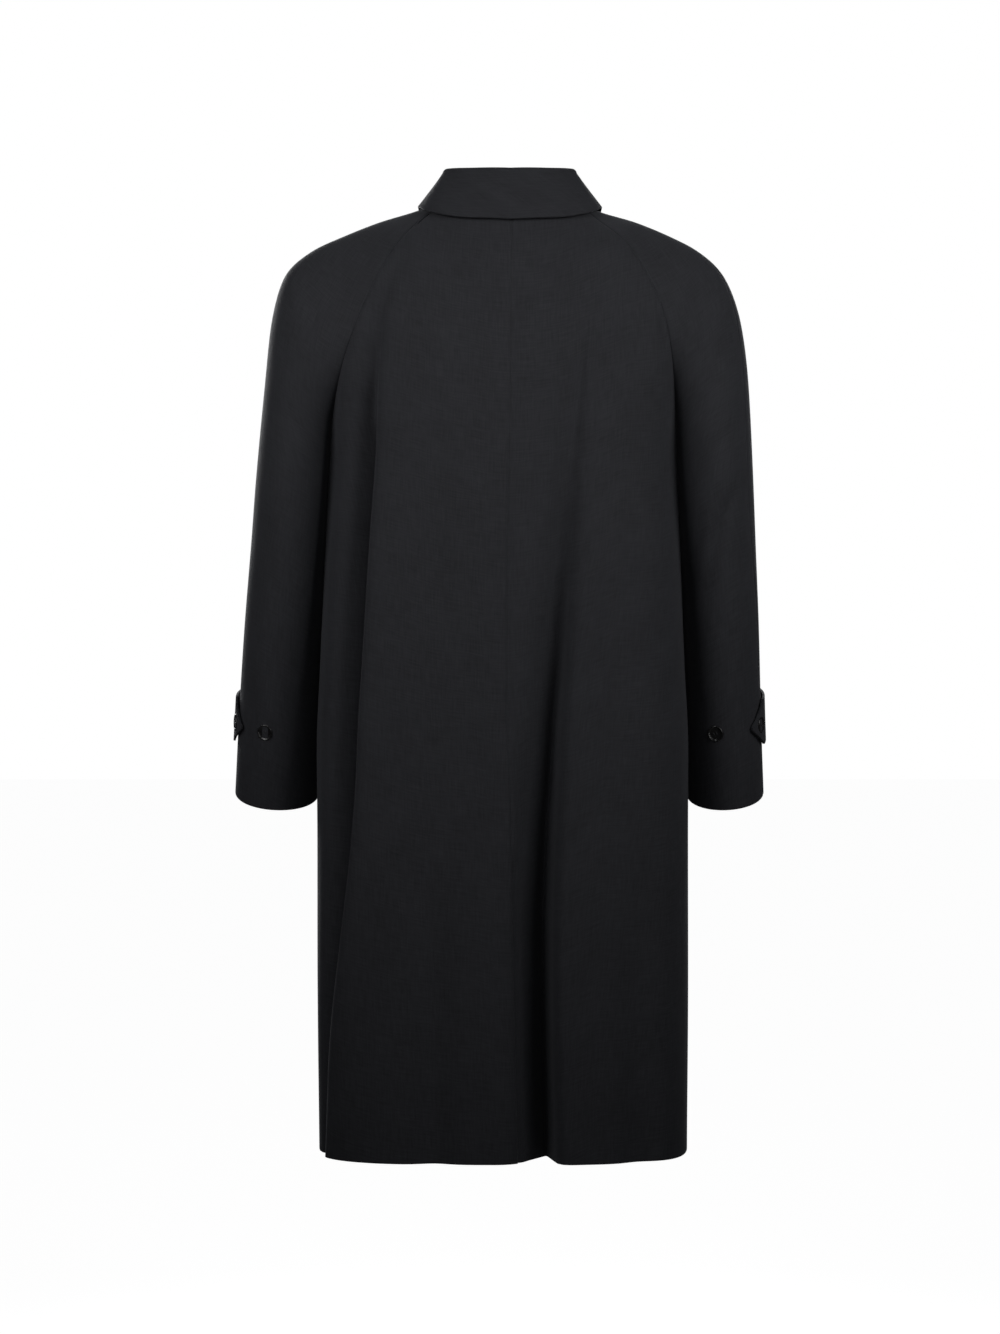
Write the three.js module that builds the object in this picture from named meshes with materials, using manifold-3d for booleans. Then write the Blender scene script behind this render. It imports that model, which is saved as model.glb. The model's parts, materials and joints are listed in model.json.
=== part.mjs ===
// A knee-length single-breasted raglan coat, filled out as it hangs from the shoulders with nobody in it.
// Millimetres. X runs to the wearer's left, the back faces +Y and Z is up. The origin lies between the two
// neck points of the shoulders, where the wearer's neck holds the coat.
// Every panel is a wall of cloth: an outer surface worked out from sections, and an inner one under it.
import * as THREE from "three";
import { mergeVertices } from "three/addons/utils/BufferGeometryUtils.js";
import Module from "manifold-3d";

const wasm = await Module();
wasm.setup();

// Driving sizes
const CLOTH = 2; // coating cloth, doubled at its edges
const COLLAR_CLOTH = 2.4; // two layers and a canvas
const TAB_CLOTH = 2.6;
const SEAM_GAP = 0.3; // between two pieces that are sewn together
const UNDERARM_GAP = 1; // between body and sleeve where the armhole folds shut
const ARMPIT = -285; // heights below the neck points
const HEM = -1045;
const CUFF_OUTER = -654;
const CUFF_INNER = -660;
const CUFF_TILT = 0.3; // the arm hangs a little forward, so the cuff's back edge lies lower
const FRONT_LAP = 28; // how far each front runs past the centre line
const LAP_DROP = 3.4; // how far a lapped layer lies under the one over it
const VENT_TOP = -762;
const VENT_LAP = 38;
const BUTTON_RADIUS = 9;
const FRONT_BUTTON_RADIUS = 11.5;
const BUTTON_SEAT = 0.3; // a sewn button stands this far off the cloth
const SIDES = { left: 1, right: -1 }; // sign of X
const FACES = { back: 1, front: -1 }; // sign of Y

// Small maths

const vec = (x, y, z) => new THREE.Vector3(x, y, z);
const mix = (a, b, t) => a + (b - a) * t;
const clamp = (t, low = 0, high = 1) => Math.min(high, Math.max(low, t));
const along = (p, direction, distance) => p.clone().addScaledVector(direction, distance);

function smooth(t) {
  const s = clamp(t);
  return s * s * (3 - 2 * s);
}

// Reads a table between its rows, on curves that pass through every row and never swing past one.
function table(columns, rows) {
  const names = columns.split(" ");
  const sorted = [...rows].sort((a, b) => a[0] - b[0]);
  const keys = sorted.map((row) => row[0]);
  const slopes = names.map((_, column) => {
    const rise = keys.slice(1).map((key, i) =>
      (sorted[i + 1][column] - sorted[i][column]) / (key - keys[i]));
    return keys.map((_, i) => {
      if (i === 0) return rise[0];
      if (i === keys.length - 1) return rise[i - 1];
      if (rise[i - 1] * rise[i] <= 0) return 0;
      return (2 * rise[i - 1] * rise[i]) / (rise[i - 1] + rise[i]);
    });
  });
  return (at) => {
    const key = clamp(at, keys[0], keys[keys.length - 1]);
    let i = 0;
    while (i < keys.length - 2 && key > keys[i + 1]) i += 1;
    const step = keys[i + 1] - keys[i];
    const t = (key - keys[i]) / step;
    const found = {};
    names.forEach((name, column) => {
      const [a, b] = [sorted[i][column], sorted[i + 1][column]];
      const [da, db] = [slopes[column][i] * step, slopes[column][i + 1] * step];
      found[name] = a * (1 + 2 * t) * (1 - t) ** 2 + da * t * (1 - t) ** 2
        + b * t * t * (3 - 2 * t) + db * t * t * (t - 1);
    });
    return found;
  };
}

// Names the columns of a list of rows.
function rowsOf(columns, rows) {
  const names = columns.split(" ");
  return rows.map((row) => Object.fromEntries(names.map((name, i) => [name, row[i]])));
}

function bezier(p, t) {
  const s = 1 - t;
  return p[0].clone().multiplyScalar(s * s * s)
    .addScaledVector(p[1], 3 * s * s * t)
    .addScaledVector(p[2], 3 * s * t * t)
    .addScaledVector(p[3], t * t * t);
}

// Stations run along the coat: 0 at the neckline, 1 at the armpit, 2 at the hem or cuff.

const level = (station, end) => mix(ARMPIT, end, station - 1);

const CENTRE = {
  back: table("station x y z", [
    [0, -4, 58, -8],
    [0.125, -4.5, 73, -34],
    [0.25, -4, 88, -72],
    [0.375, -3.5, 100, -113],
    [0.5, -3, 109, -154],
    [0.625, -3, 114.5, -190],
    [0.75, -2.5, 118.5, -224],
    [0.875, -2, 121, -256],
    [1, -1.5, 123, ARMPIT],
    [1.2, 1, 127, level(1.2, HEM)],
    [1.35, 1, 130.5, level(1.35, HEM)],
    [1.5, -3.5, 134.5, level(1.5, HEM)],
    [1.7, -6.5, 140.5, level(1.7, HEM)],
    [2, -11.5, 150, HEM],
  ]),
  front: table("station x y z", [
    [0, 0, -72, -75],
    [0.125, 0, -84, -98],
    [0.25, 0, -97, -124],
    [0.375, 0, -108, -152],
    [0.5, 0, -118, -181],
    [0.625, 0, -126, -208],
    [0.75, 0, -131, -236],
    [0.875, 0, -134.5, -262],
    [1, 0, -136.5, ARMPIT],
    [1.35, 0, -140, level(1.35, HEM)],
    [1.6, 0, -145, level(1.6, HEM)],
    [2, 0, -152, HEM],
  ]),
};

// The raglan seams, from the neckline to the armpit. X is the distance to that side.
const FRONT_RAGLAN = [
  [0.125, 88, -56, -48],
  [0.25, 108, -76, -82],
  [0.375, 129, -90, -120],
  [0.5, 149, -95, -158],
  [0.625, 167, -86, -194],
  [0.75, 180, -66, -228],
];
const RAGLAN = {
  back: {
    left: table("station x y z", [
      [0, 69, 24, -1],
      [0.125, 96, 47, -24],
      [0.25, 123, 74, -58],
      [0.375, 147, 86, -102],
      [0.5, 166, 88, -148],
      [0.625, 179, 80, -185],
      [0.75, 188, 63, -222],
      [0.875, 194, 36, -255],
      [1, 197, 0, ARMPIT],
    ]),
    right: table("station x y z", [
      [0, 75, 24, -1],
      [0.125, 100, 47, -24],
      [0.25, 130, 73, -53],
      [0.375, 157, 84, -98],
      [0.5, 172, 85, -137],
      [0.625, 179, 78, -176],
      [0.75, 183, 62, -215],
      [0.875, 186, 36, -251],
      [1, 188, 0, ARMPIT],
    ]),
  },
  front: {
    left: table("station x y z", [
      [0, 67, -34, -20],
      ...FRONT_RAGLAN,
      [0.875, 191, -37, -260],
      [1, 197, 0, ARMPIT],
    ]),
    right: table("station x y z", [
      [0, 71, -34, -20],
      ...FRONT_RAGLAN,
      [0.875, 185, -37, -260],
      [1, 188, 0, ARMPIT],
    ]),
  },
};

// The side seams, from the armpit to the hem.
const SIDE_SEAM = table("station left right", [
  [1, 197, 188],
  [1.15, 202.3, 192.6],
  [1.3, 207.3, 196.6],
  [1.42, 210.8, 200.6],
  [1.55, 210, 200.2],
  [1.75, 209.5, 200],
  [2, 207, 198],
]);

// How far a section runs on straight from the centre line and from the seam, as a share of its chord.
const BODY_PULL = table("station centre seam", [
  [0, 0.34, 0.34],
  [0.5, 0.42, 0.3],
  [0.75, 0.52, 0.3],
  [0.875, 0.56, 0.36],
  [1, 0.58, 0.43],
  [1.4, 0.64, 0.48],
  [2, 0.72, 0.54],
]);

// The overarm line: along the shoulder and down the outside of the sleeve.
const OVERARM = {
  left: table("station x y z", [
    [0, 75, 2, 2],
    [0.125, 103, 3, -8.5],
    [0.25, 140, 3, -20],
    [0.375, 180, 2, -35.5],
    [0.5, 218, 1, -53.5],
    [0.625, 246, 0, -80],
    [0.75, 261, -2, -131],
    [0.875, 269, -4, -205],
    [1, 277, -5, ARMPIT],
    [1.25, 284.5, -8, level(1.25, CUFF_OUTER)],
    [1.5, 293, -16, level(1.5, CUFF_OUTER)],
    [1.75, 300, -28, level(1.75, CUFF_OUTER)],
    [2, 306, -42, CUFF_OUTER],
  ]),
  right: table("station x y z", [
    [0, 81, 2, 2],
    [0.125, 103, 3, -8.5],
    [0.25, 140, 3, -20],
    [0.375, 180, 2, -36],
    [0.5, 214, 1, -54.5],
    [0.625, 240, 0, -80.5],
    [0.75, 259, -2, -131],
    [0.875, 268.5, -4, -205],
    [1, 272.5, -5, ARMPIT],
    [1.25, 276.5, -8, level(1.25, CUFF_OUTER)],
    [1.5, 281, -16, level(1.5, CUFF_OUTER)],
    [1.75, 284.5, -28, level(1.75, CUFF_OUTER)],
    [2, 289, -42, CUFF_OUTER],
  ]),
};

// The underarm line of each sleeve, from the armpit to the cuff.
const UNDERARM = table("station left right y", [
  [1, 197, 188, 0],
  [1.15, 201, 191, -2],
  [1.45, 206, 197, -12],
  [1.75, 211, 201, -26],
  [2, 215, 205, -40],
]);

// How far a sleeve section runs on straight from its seam and from the overarm line, in millimetres.
const SLEEVE_PULL = table("station seam overarm", [
  [0, 7, 8],
  [0.125, 14, 15],
  [0.25, 28, 28],
  [0.375, 40, 42],
  [0.5, 50, 58],
  [0.625, 50, 78],
  [0.75, 48, 98],
  [0.875, 74, 112],
  [1, 116, 118],
  [1.3, 102, 102],
  [1.6, 90, 90],
  [2, 76, 76],
]);

// Where the overarm seam lies: 0 is the back seam, 1 the overarm line and 2 the front seam.
const OVERARM_SEAM = {
  left: table("station across", [[0, 1], [0.5, 1.03], [1, 1.08], [2, 1.06]]),
  right: table("station across", [
    [0, 1],
    [0.4, 0.94],
    [0.7, 0.79],
    [1.1, 0.78],
    [1.45, 0.86],
    [2, 0.92],
  ]),
};

// The hanging folds. A section is flat but for these: distances are along the cloth from the centre line,
// depths are into the coat. A fold runs from a crest over a rounded ridge, down a steep wall to its valley
// and up a long flank.
const FOLDS = {
  backLeft: table("z crest ridge rise valley depth flank", [
    [-60, 70, 92, 0, 100, 0, 108],
    [-120, 92, 126, 1, 138, 5, 152],
    [-175, 95, 135, 1.5, 146, 12, 172],
    [-230, 98, 141, 2, 150, 22, 180],
    [-330, 100, 149, 3, 156, 38, 188],
    [-436, 105, 154, 4, 161, 48, 196],
    [-594, 115, 164, 5, 171, 51, 205],
    [-700, 125, 175, 6, 181, 47, 212],
    [-808, 139, 191, 6, 197, 39, 222],
    [-927, 160, 211, 6, 218, 27, 240],
    [-1045, 174, 224, 4, 231, 15, 247],
  ]),
  backRight: table("z seam shoulder shoulderDepth valley depth ridge rise crest", [
    [-60, 0, 40, 0, 60, 0, 66, 0, 90],
    [-130, 0, 48, 0, 83, 0.5, 90, 0, 130],
    [-170, 0, 50, 0.5, 80, 3, 87, 0.5, 130],
    [-275, 0, 44, 1.5, 72, 11, 82, 1.5, 126],
    [-380, 0, 37, 3, 67, 22, 79, 2, 122],
    [-486, 0, 28, 5, 61, 34, 73, 3, 116],
    [-594, 0, 19, 8, 52, 44, 63, 4, 106],
    [-700, 0, 10, 14, 40, 52, 54, 5, 98],
    [-808, 3, 6, 19, 35, 60, 48, 6, 92],
    [-915, 6, 6, 24, 34, 68, 46, 5, 88],
    [-1045, 10, 8, 30, 34, 76, 46, 3, 84],
  ]),
  frontLeft: table("z crest ridge rise valley depth flank", [
    [-100, 60, 78, 0, 88, 0, 104],
    [-220, 74, 96, 1, 108, 5, 138],
    [-400, 84, 108, 2, 121, 13, 156],
    [-700, 92, 119, 3, 134, 22, 172],
    [-1045, 98, 128, 4, 145, 28, 186],
  ]),
  frontRight: table("z crest ridge rise valley depth flank", [
    [-100, 60, 76, 0, 86, 0, 102],
    [-220, 82, 100, 1, 112, 4, 140],
    [-400, 96, 118, 2, 131, 11, 160],
    [-700, 108, 132, 3, 147, 19, 180],
    [-1045, 112, 142, 4, 159, 24, 196],
  ]),
};

// Softer troughs, each along a line seen square from its face, with its depth at both ends.
const CREASES = rowsOf("face x0 z0 depth0 x1 z1 depth1 width", [
  ["back", -90, -90, 1, -105, -220, 3, 9], // right shoulder blade
  ["back", 96, -740, 1, 88, -990, 5, 24], // left skirt
  ["back", -150, -780, 1, -158, -1045, 5, 22], // right skirt
  ["back", 238, -365, 1, 236, -590, 3, 16], // left sleeve
  ["back", -238, -330, 3, -216, -440, 3, 12], // right elbow
  ["front", -232, -340, 1, -212, -430, 4, 12],
  ["front", 240, -330, 1, 224, -420, 4, 12],
]);

function creaseDepth(face, p) {
  let total = 0;
  for (const c of CREASES) {
    if (c.face !== face) continue;
    const [dx, dz] = [c.x1 - c.x0, c.z1 - c.z0];
    const t = ((p.x - c.x0) * dx + (p.z - c.z0) * dz) / (dx * dx + dz * dz);
    const near = clamp(t);
    const away = Math.hypot(p.x - c.x0 - near * dx, p.z - c.z0 - near * dz);
    total += mix(c.depth0, c.depth1, near) * Math.exp(-((away / c.width) ** 2));
  }
  return total;
}

// Where a section of the body ends: on the raglan seam, then on the side seam.

function seamPoint(side, face, station) {
  if (station <= 1) {
    const row = RAGLAN[face][side](station);
    return vec(SIDES[side] * row.x, row.y, row.z);
  }
  return vec(SIDES[side] * SIDE_SEAM(station)[side], 0, level(station, HEM));
}

function overarmPoint(side, station) {
  const row = OVERARM[side](station);
  return vec(SIDES[side] * row.x, row.y, row.z);
}

function centrePoint(face, station) {
  const row = CENTRE[face](station);
  return vec(row.x, row.y, row.z);
}

// How a section crosses the raglan seam. High up, body and sleeve share one smooth surface there.
// Towards the armpit both turn in, until they lie face to face.
const STEP = 1e-3;
const SHARED_TO = 0.3; // the station down to which body and sleeve share one surface
const SHUT_FROM = 0.35; // the station from which they turn in

function crossing(side, face, station) {
  const outward = vec(SIDES[side], 0, 0);
  const turnIn = vec(0, -FACES[face], 0);
  if (station >= 1) return { outward, body: turnIn, sleeve: turnIn.clone().negate(), shut: 1 };
  const seam = seamPoint(side, face, station);
  const low = Math.max(0, station - STEP);
  const run = seamPoint(side, face, low + 2 * STEP).sub(seamPoint(side, face, low)).normalize();
  const bodyChord = seam.clone().sub(centrePoint(face, station)).normalize();
  const sleeveChord = overarmPoint(side, station).sub(seam).normalize();
  const facing = run.clone().cross(bodyChord).add(run.clone().cross(sleeveChord)).normalize();
  const shared = bodyChord.clone().add(sleeveChord).normalize();
  const apart = smooth(station / SHARED_TO);
  const shut = smooth((station - SHUT_FROM) / (1 - SHUT_FROM));
  const inSurface = (chord) => {
    const d = shared.clone().lerp(chord, apart);
    return d.addScaledVector(facing, -d.dot(facing)).normalize();
  };
  const body = inSurface(bodyChord);
  const sleeve = inSurface(sleeveChord);
  return {
    outward: body.clone().lerp(outward, shut).normalize(),
    body: body.lerp(turnIn, shut).normalize(),
    sleeve: sleeve.lerp(turnIn.negate(), shut).normalize(),
    shut,
  };
}

// The four control points of a section.

function bodyControl(side, face, station) {
  const centre = centrePoint(face, station);
  const cross = crossing(side, face, station);
  const gap = mix(SEAM_GAP, UNDERARM_GAP, cross.shut);
  const edge = along(seamPoint(side, face, station), cross.outward, -gap / 2);
  edge.y += (FACES[face] * cross.shut * SEAM_GAP) / 2;
  const chord = edge.distanceTo(centre);
  const pull = BODY_PULL(station);
  return [
    centre,
    along(centre, vec(SIDES[side], 0, 0), pull.centre * chord),
    along(edge, cross.body, -pull.seam * chord),
    edge,
  ];
}

function sleeveControl(side, face, station) {
  const cross = crossing(side, face, station);
  const under = UNDERARM(station);
  const seam = station <= 1
    ? seamPoint(side, face, station)
    : vec(SIDES[side] * under[side], under.y, level(station, CUFF_INNER));
  const gap = mix(SEAM_GAP, UNDERARM_GAP, cross.shut);
  const edge = along(seam, cross.outward, gap / 2);
  edge.y += (FACES[face] * cross.shut * SEAM_GAP) / 2;
  const top = overarmPoint(side, station);
  const pull = SLEEVE_PULL(station);
  const tilt = CUFF_TILT * smooth(station - 1);
  const turnOut = vec(0, FACES[face], -FACES[face] * tilt);
  return [
    edge,
    along(edge, station > 1 ? turnOut : cross.sleeve, pull.seam),
    along(top, turnOut, pull.overarm),
    top,
  ];
}

// A section that can be read by its length from the start, with the direction that its surface faces.
const SAMPLES = 48;

function curveOf(control, station, side, face) {
  const [low, high] = [Math.max(0, station - STEP), Math.min(2, station + STEP)];
  const [here, before, after] = [station, low, high].map((at) => control(side, face, at));
  const lengths = [0];
  let last = here[0];
  for (let i = 1; i <= SAMPLES; i += 1) {
    const next = bezier(here, i / SAMPLES);
    lengths.push(lengths[i - 1] + next.distanceTo(last));
    last = next;
  }
  const share = (length) => {
    if (length <= 0) return (length / lengths[1]) / SAMPLES;
    let i = 0;
    while (i < SAMPLES - 1 && length > lengths[i + 1]) i += 1;
    return (i + (length - lengths[i]) / (lengths[i + 1] - lengths[i])) / SAMPLES;
  };
  const turn = -SIDES[side] * FACES[face];
  const facing = (t) => {
    const across = bezier(here, t + STEP).sub(bezier(here, t - STEP));
    const down = bezier(after, t).sub(bezier(before, t));
    return down.cross(across).multiplyScalar(turn).normalize();
  };
  return { total: lengths[SAMPLES], share, facing, point: (t) => bezier(here, t) };
}

// A chain of straight runs with its corners rounded, read by its length from knot number zeroAt.
const ROUNDING = 14;

function roundedChain(knots, zeroAt) {
  const lengths = [0];
  knots.slice(1).forEach((knot, i) =>
    lengths.push(lengths[i] + Math.hypot(knot.x - knots[i].x, knot.depth - knots[i].depth)));
  const zero = lengths[zeroAt];
  const straight = (length) => {
    let i = 0;
    while (i < knots.length - 2 && length > lengths[i + 1]) i += 1;
    const t = (length - lengths[i]) / (lengths[i + 1] - lengths[i]);
    return { x: mix(knots[i].x, knots[i + 1].x, t), depth: mix(knots[i].depth, knots[i + 1].depth, t) };
  };
  const read = (from) => {
    const length = from + zero;
    for (let i = 1; i < knots.length - 1; i += 1) {
      const [before, after] = [lengths[i] - lengths[i - 1], lengths[i + 1] - lengths[i]];
      const reach = Math.min(ROUNDING, before / 2, after / 2);
      const t = (length - lengths[i] + reach) / (2 * reach);
      if (t <= 0 || t >= 1) continue;
      const [a, b] = [straight(lengths[i] - reach), straight(lengths[i] + reach)];
      const bend = (key) => (1 - t) ** 2 * a[key] + 2 * t * (1 - t) * knots[i][key] + t * t * b[key];
      return { x: bend("x"), depth: bend("depth") };
    }
    return straight(length);
  };
  return { read, knots: lengths.map((length) => length - zero) };
}

// The knots of one half of a body section, from the centre line to the seam, with the folds in it.
// Near the neck, where a section is short, each knot keeps to a share of the way to the seam.
const SEAM_ALLOWANCE = 16; // beside the centre line, where the cloth is pressed flat
const SHARES = {
  backRight: { shoulder: 0.35, valley: 0.6, ridge: 0.68, crest: 0.85 },
  others: { crest: 0.7, ridge: 0.86, valley: 0.91, flank: 0.97 },
};

function halfKnots(side, face, station, edge) {
  const z = CENTRE[face](station).z;
  const backRight = side === "right" && face === "back";
  const shares = backRight ? SHARES.backRight : SHARES.others;
  const f = FOLDS[face + (side === "left" ? "Left" : "Right")](z);
  const knot = (name, depth) => ({ x: Math.min(f[name], shares[name] * edge), depth });
  if (backRight) {
    return [
      { x: 0, depth: f.seam },
      knot("shoulder", f.shoulderDepth),
      knot("valley", f.depth),
      knot("ridge", -f.rise),
      knot("crest", 0),
      { x: edge, depth: 0 },
    ];
  }
  return [
    { x: 0, depth: face === "back" ? FOLDS.backRight(z).seam : 0 },
    { x: SEAM_ALLOWANCE, depth: 0 },
    { x: face === "back" ? VENT_LAP : FRONT_LAP, depth: 0 },
    knot("crest", 0),
    knot("ridge", -f.rise),
    knot("valley", f.depth),
    knot("flank", 0),
    { x: edge, depth: 0 },
  ];
}

// One whole section of the body's back or front. Its cloth is measured from the centre line,
// to the wearer's left as positive.
const bodySections = new Map();

function bodySection(face, station) {
  const key = `${face} ${station.toFixed(6)}`;
  if (bodySections.has(key)) return bodySections.get(key);
  const left = curveOf(bodyControl, station, "left", face);
  const right = curveOf(bodyControl, station, "right", face);
  const leftKnots = halfKnots("left", face, station, left.total);
  const rightKnots = halfKnots("right", face, station, right.total);
  const mirrored = rightKnots.slice(1).map((knot) => ({ x: -knot.x, depth: knot.depth })).reverse();
  const chain = roundedChain([...mirrored, ...leftKnots], mirrored.length);
  const point = (cloth) => {
    const { x, depth } = chain.read(cloth);
    const curve = x >= 0 ? left : right;
    const t = curve.share(Math.abs(x));
    const p = curve.point(t);
    return along(p, curve.facing(t), -(depth + creaseDepth(face, p)));
  };
  const section = {
    point,
    knots: {
      left: chain.knots.slice(mirrored.length),
      right: chain.knots.slice(0, mirrored.length + 1).reverse(),
    },
  };
  bodySections.set(key, section);
  return section;
}

const sleeveSections = new Map();

function sleeveSection(side, station) {
  const key = `${side} ${station.toFixed(6)}`;
  if (sleeveSections.has(key)) return sleeveSections.get(key);
  const halves = {
    back: curveOf(sleeveControl, station, side, "back"),
    front: curveOf(sleeveControl, station, side, "front"),
  };
  // across runs from 0 at the back seam over 1 at the overarm line to 2 at the front seam
  const point = (across) => {
    const face = across <= 1 ? "back" : "front";
    const curve = halves[face];
    const t = across <= 1 ? across : 2 - across;
    const p = curve.point(t);
    return along(p, curve.facing(t), -creaseDepth(face, p));
  };
  const section = { point };
  sleeveSections.set(key, section);
  return section;
}

// Walls of cloth

// Makes a closed wall from a grid of outer points. surface(column, row) gives a point for whole and
// broken numbers alike, so the wall's thickness can follow the true surface. turn is 1 where columns
// and rows run so that down x across points out of the coat. keep(column, row) says which cells are cloth,
// sink(column, row) how deep the cloth lies under the surface.
const NUDGE = 0.02; // of a cell

function wall({ surface, columns, rows, thickness, turn, keep = () => true, sink = () => 0 }) {
  const outer = [];
  const inner = [];
  for (let r = 0; r <= rows; r += 1) {
    for (let c = 0; c <= columns; c += 1) {
      const p = surface(c, r);
      const across = surface(Math.min(columns, c + NUDGE), r).sub(surface(Math.max(0, c - NUDGE), r));
      const down = surface(c, Math.min(rows, r + NUDGE)).sub(surface(c, Math.max(0, r - NUDGE)));
      const outwards = down.cross(across).normalize().multiplyScalar(turn);
      outer.push(along(p, outwards, -sink(c, r)));
      inner.push(along(p, outwards, -sink(c, r) - thickness));
    }
  }
  const at = (c, r) => r * (columns + 1) + c;
  const under = outer.length;
  const index = [];
  const quad = (a, b, c, d) => index.push(a, b, c, a, c, d);
  const cloth = (c, r) => c >= 0 && r >= 0 && c < columns && r < rows && keep(c, r);
  for (let r = 0; r < rows; r += 1) {
    for (let c = 0; c < columns; c += 1) {
      if (!cloth(c, r)) continue;
      const [a, b, d, e] = [at(c, r), at(c + 1, r), at(c + 1, r + 1), at(c, r + 1)];
      quad(a, e, d, b);
      quad(a + under, b + under, d + under, e + under);
      if (!cloth(c, r - 1)) quad(b, b + under, a + under, a);
      if (!cloth(c, r + 1)) quad(e, e + under, d + under, d);
      if (!cloth(c - 1, r)) quad(a, a + under, e + under, e);
      if (!cloth(c + 1, r)) quad(d, d + under, b + under, b);
    }
  }
  const geometry = new THREE.BufferGeometry();
  geometry.setAttribute("position", new THREE.Float32BufferAttribute(
    [...outer, ...inner].flatMap((p) => [p.x, p.y, p.z]), 3));
  geometry.setIndex(index);
  return facingOut(geometry);
}

// Turns a closed geometry right side out.
function facingOut(geometry) {
  const p = geometry.getAttribute("position");
  const index = geometry.getIndex().array;
  let volume = 0;
  for (let i = 0; i < index.length; i += 3) {
    const [a, b, c] = [0, 1, 2].map((k) => vec().fromBufferAttribute(p, index[i + k]));
    volume += a.dot(b.cross(c));
  }
  if (volume < 0) {
    for (let i = 0; i < index.length; i += 3) [index[i + 1], index[i + 2]] = [index[i + 2], index[i + 1]];
  }
  geometry.computeVertexNormals();
  return geometry;
}

// Reads a list of places at a whole or broken number.
function pick(list, at) {
  const i = Math.min(list.length - 2, Math.floor(at));
  return mix(list[i], list[i + 1], at - i);
}

// Rows of a panel: closer together over the shoulders than down the skirt.
const UPPER_ROWS = 9;
const BODY_ROWS = 14;
const SLEEVE_ROWS = 11;

function stations(lowerRows) {
  const upper = Array.from({ length: UPPER_ROWS }, (_, i) => i / UPPER_ROWS);
  const lower = Array.from({ length: lowerRows + 1 }, (_, i) => 1 + i / lowerRows);
  return [...upper, ...lower];
}

const BODY_STATIONS = stations(BODY_ROWS);
const SLEEVE_STATIONS = stations(SLEEVE_ROWS);
const VENT_ROW = BODY_STATIONS.findIndex((station) => station > 1 && level(station, HEM) <= VENT_TOP);

// Sunk cloth starts a little further from the centre line.
const SINK_EDGE = 0.25;

// One body panel. cellsBetween gives the number of columns between neighbouring knots of its section,
// lap the columns that run past the centre line.
function bodyPanel(side, face, cellsBetween, lap) {
  const sign = SIDES[side];
  const other = side === "left" ? "right" : "left";
  const clothAt = (column, section, height) => {
    const edge = SEAM_GAP / 2 + SINK_EDGE * lap.sink(0, height);
    const knots = section.knots[side].map((knot, i) => (i === 0 ? sign * edge : knot));
    const [, near, far] = section.knots[other];
    if (column < lap.cells) return pick([far, near, knots[0]], column);
    let left = column - lap.cells;
    let i = 0;
    while (i < cellsBetween.length - 1 && left > cellsBetween[i]) {
      left -= cellsBetween[i];
      i += 1;
    }
    return mix(knots[i], knots[i + 1], left / cellsBetween[i]);
  };
  const sectionAt = (row) => bodySection(face, pick(BODY_STATIONS, row));
  const heightAt = (row) => CENTRE[face](pick(BODY_STATIONS, row)).z;
  return wall({
    surface: (column, row) => {
      const section = sectionAt(row);
      return section.point(clothAt(column, section, heightAt(row)));
    },
    columns: cellsBetween.reduce((sum, cells) => sum + cells, lap.cells),
    rows: BODY_STATIONS.length - 1,
    thickness: CLOTH,
    turn: -sign * FACES[face],
    keep: (column, row) => column >= lap.cells || row >= lap.fromRow,
    sink: (column, row) => lap.sink(sign * clothAt(column, sectionAt(row), heightAt(row)), heightAt(row)),
  });
}

const NO_LAP = { cells: 0, fromRow: 0, sink: () => 0 };
const OVER_LAP = { ...NO_LAP, cells: 2 };
// The right front sinks before it passes under the edge of the left one.
const FRONT_SINK = { from: FRONT_LAP + 24, run: 14 };
const UNDER_LAP = {
  ...OVER_LAP,
  sink: (outwards) => LAP_DROP * smooth((FRONT_SINK.from - outwards) / FRONT_SINK.run),
};
// The right back sinks under the left one from just above the vent.
const VENT_SINK = { from: 14, run: 12, top: VENT_TOP + 60, fall: 54 };
const VENT_UNDER = {
  cells: 2,
  fromRow: VENT_ROW,
  sink: (outwards, z) => LAP_DROP
    * smooth((VENT_SINK.from - outwards) / VENT_SINK.run)
    * smooth((VENT_SINK.top - z) / VENT_SINK.fall),
};

// One half of a sleeve, between a raglan seam and the overarm seam.
const SLEEVE_COLUMNS = 10;
const ACROSS_STEP = 0.01;

function sleeveSurface(side, face) {
  return (column, row) => {
    const station = pick(SLEEVE_STATIONS, row);
    const section = sleeveSection(side, station);
    const seam = OVERARM_SEAM[side](station).across;
    const perMm = ACROSS_STEP / section.point(seam + ACROSS_STEP).distanceTo(section.point(seam));
    const gap = (SEAM_GAP / 2) * perMm;
    const across = face === "back"
      ? mix(0, seam - gap, column / SLEEVE_COLUMNS)
      : mix(seam + gap, 2, column / SLEEVE_COLUMNS);
    return section.point(across);
  };
}

function sleevePanel(side, face) {
  return wall({
    surface: sleeveSurface(side, face),
    columns: SLEEVE_COLUMNS,
    rows: SLEEVE_STATIONS.length - 1,
    thickness: CLOTH,
    turn: -SIDES[side],
  });
}

// A place on the flat cells of a surface's grid, with the direction that its cell faces.
function seatOn(surface, column, row, turn) {
  const [c, r] = [Math.floor(column), Math.floor(row)];
  const [u, v] = [column - c, row - r];
  const [a, b, d, e] = [surface(c, r), surface(c + 1, r), surface(c + 1, r + 1), surface(c, r + 1)];
  const outwards = e.clone().sub(a).add(d).sub(b).cross(b.clone().sub(a).add(d).sub(e));
  const at = a.lerp(b, u).lerp(e.lerp(d, u), v);
  return { at, outwards: outwards.multiplyScalar(turn).normalize() };
}

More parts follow.
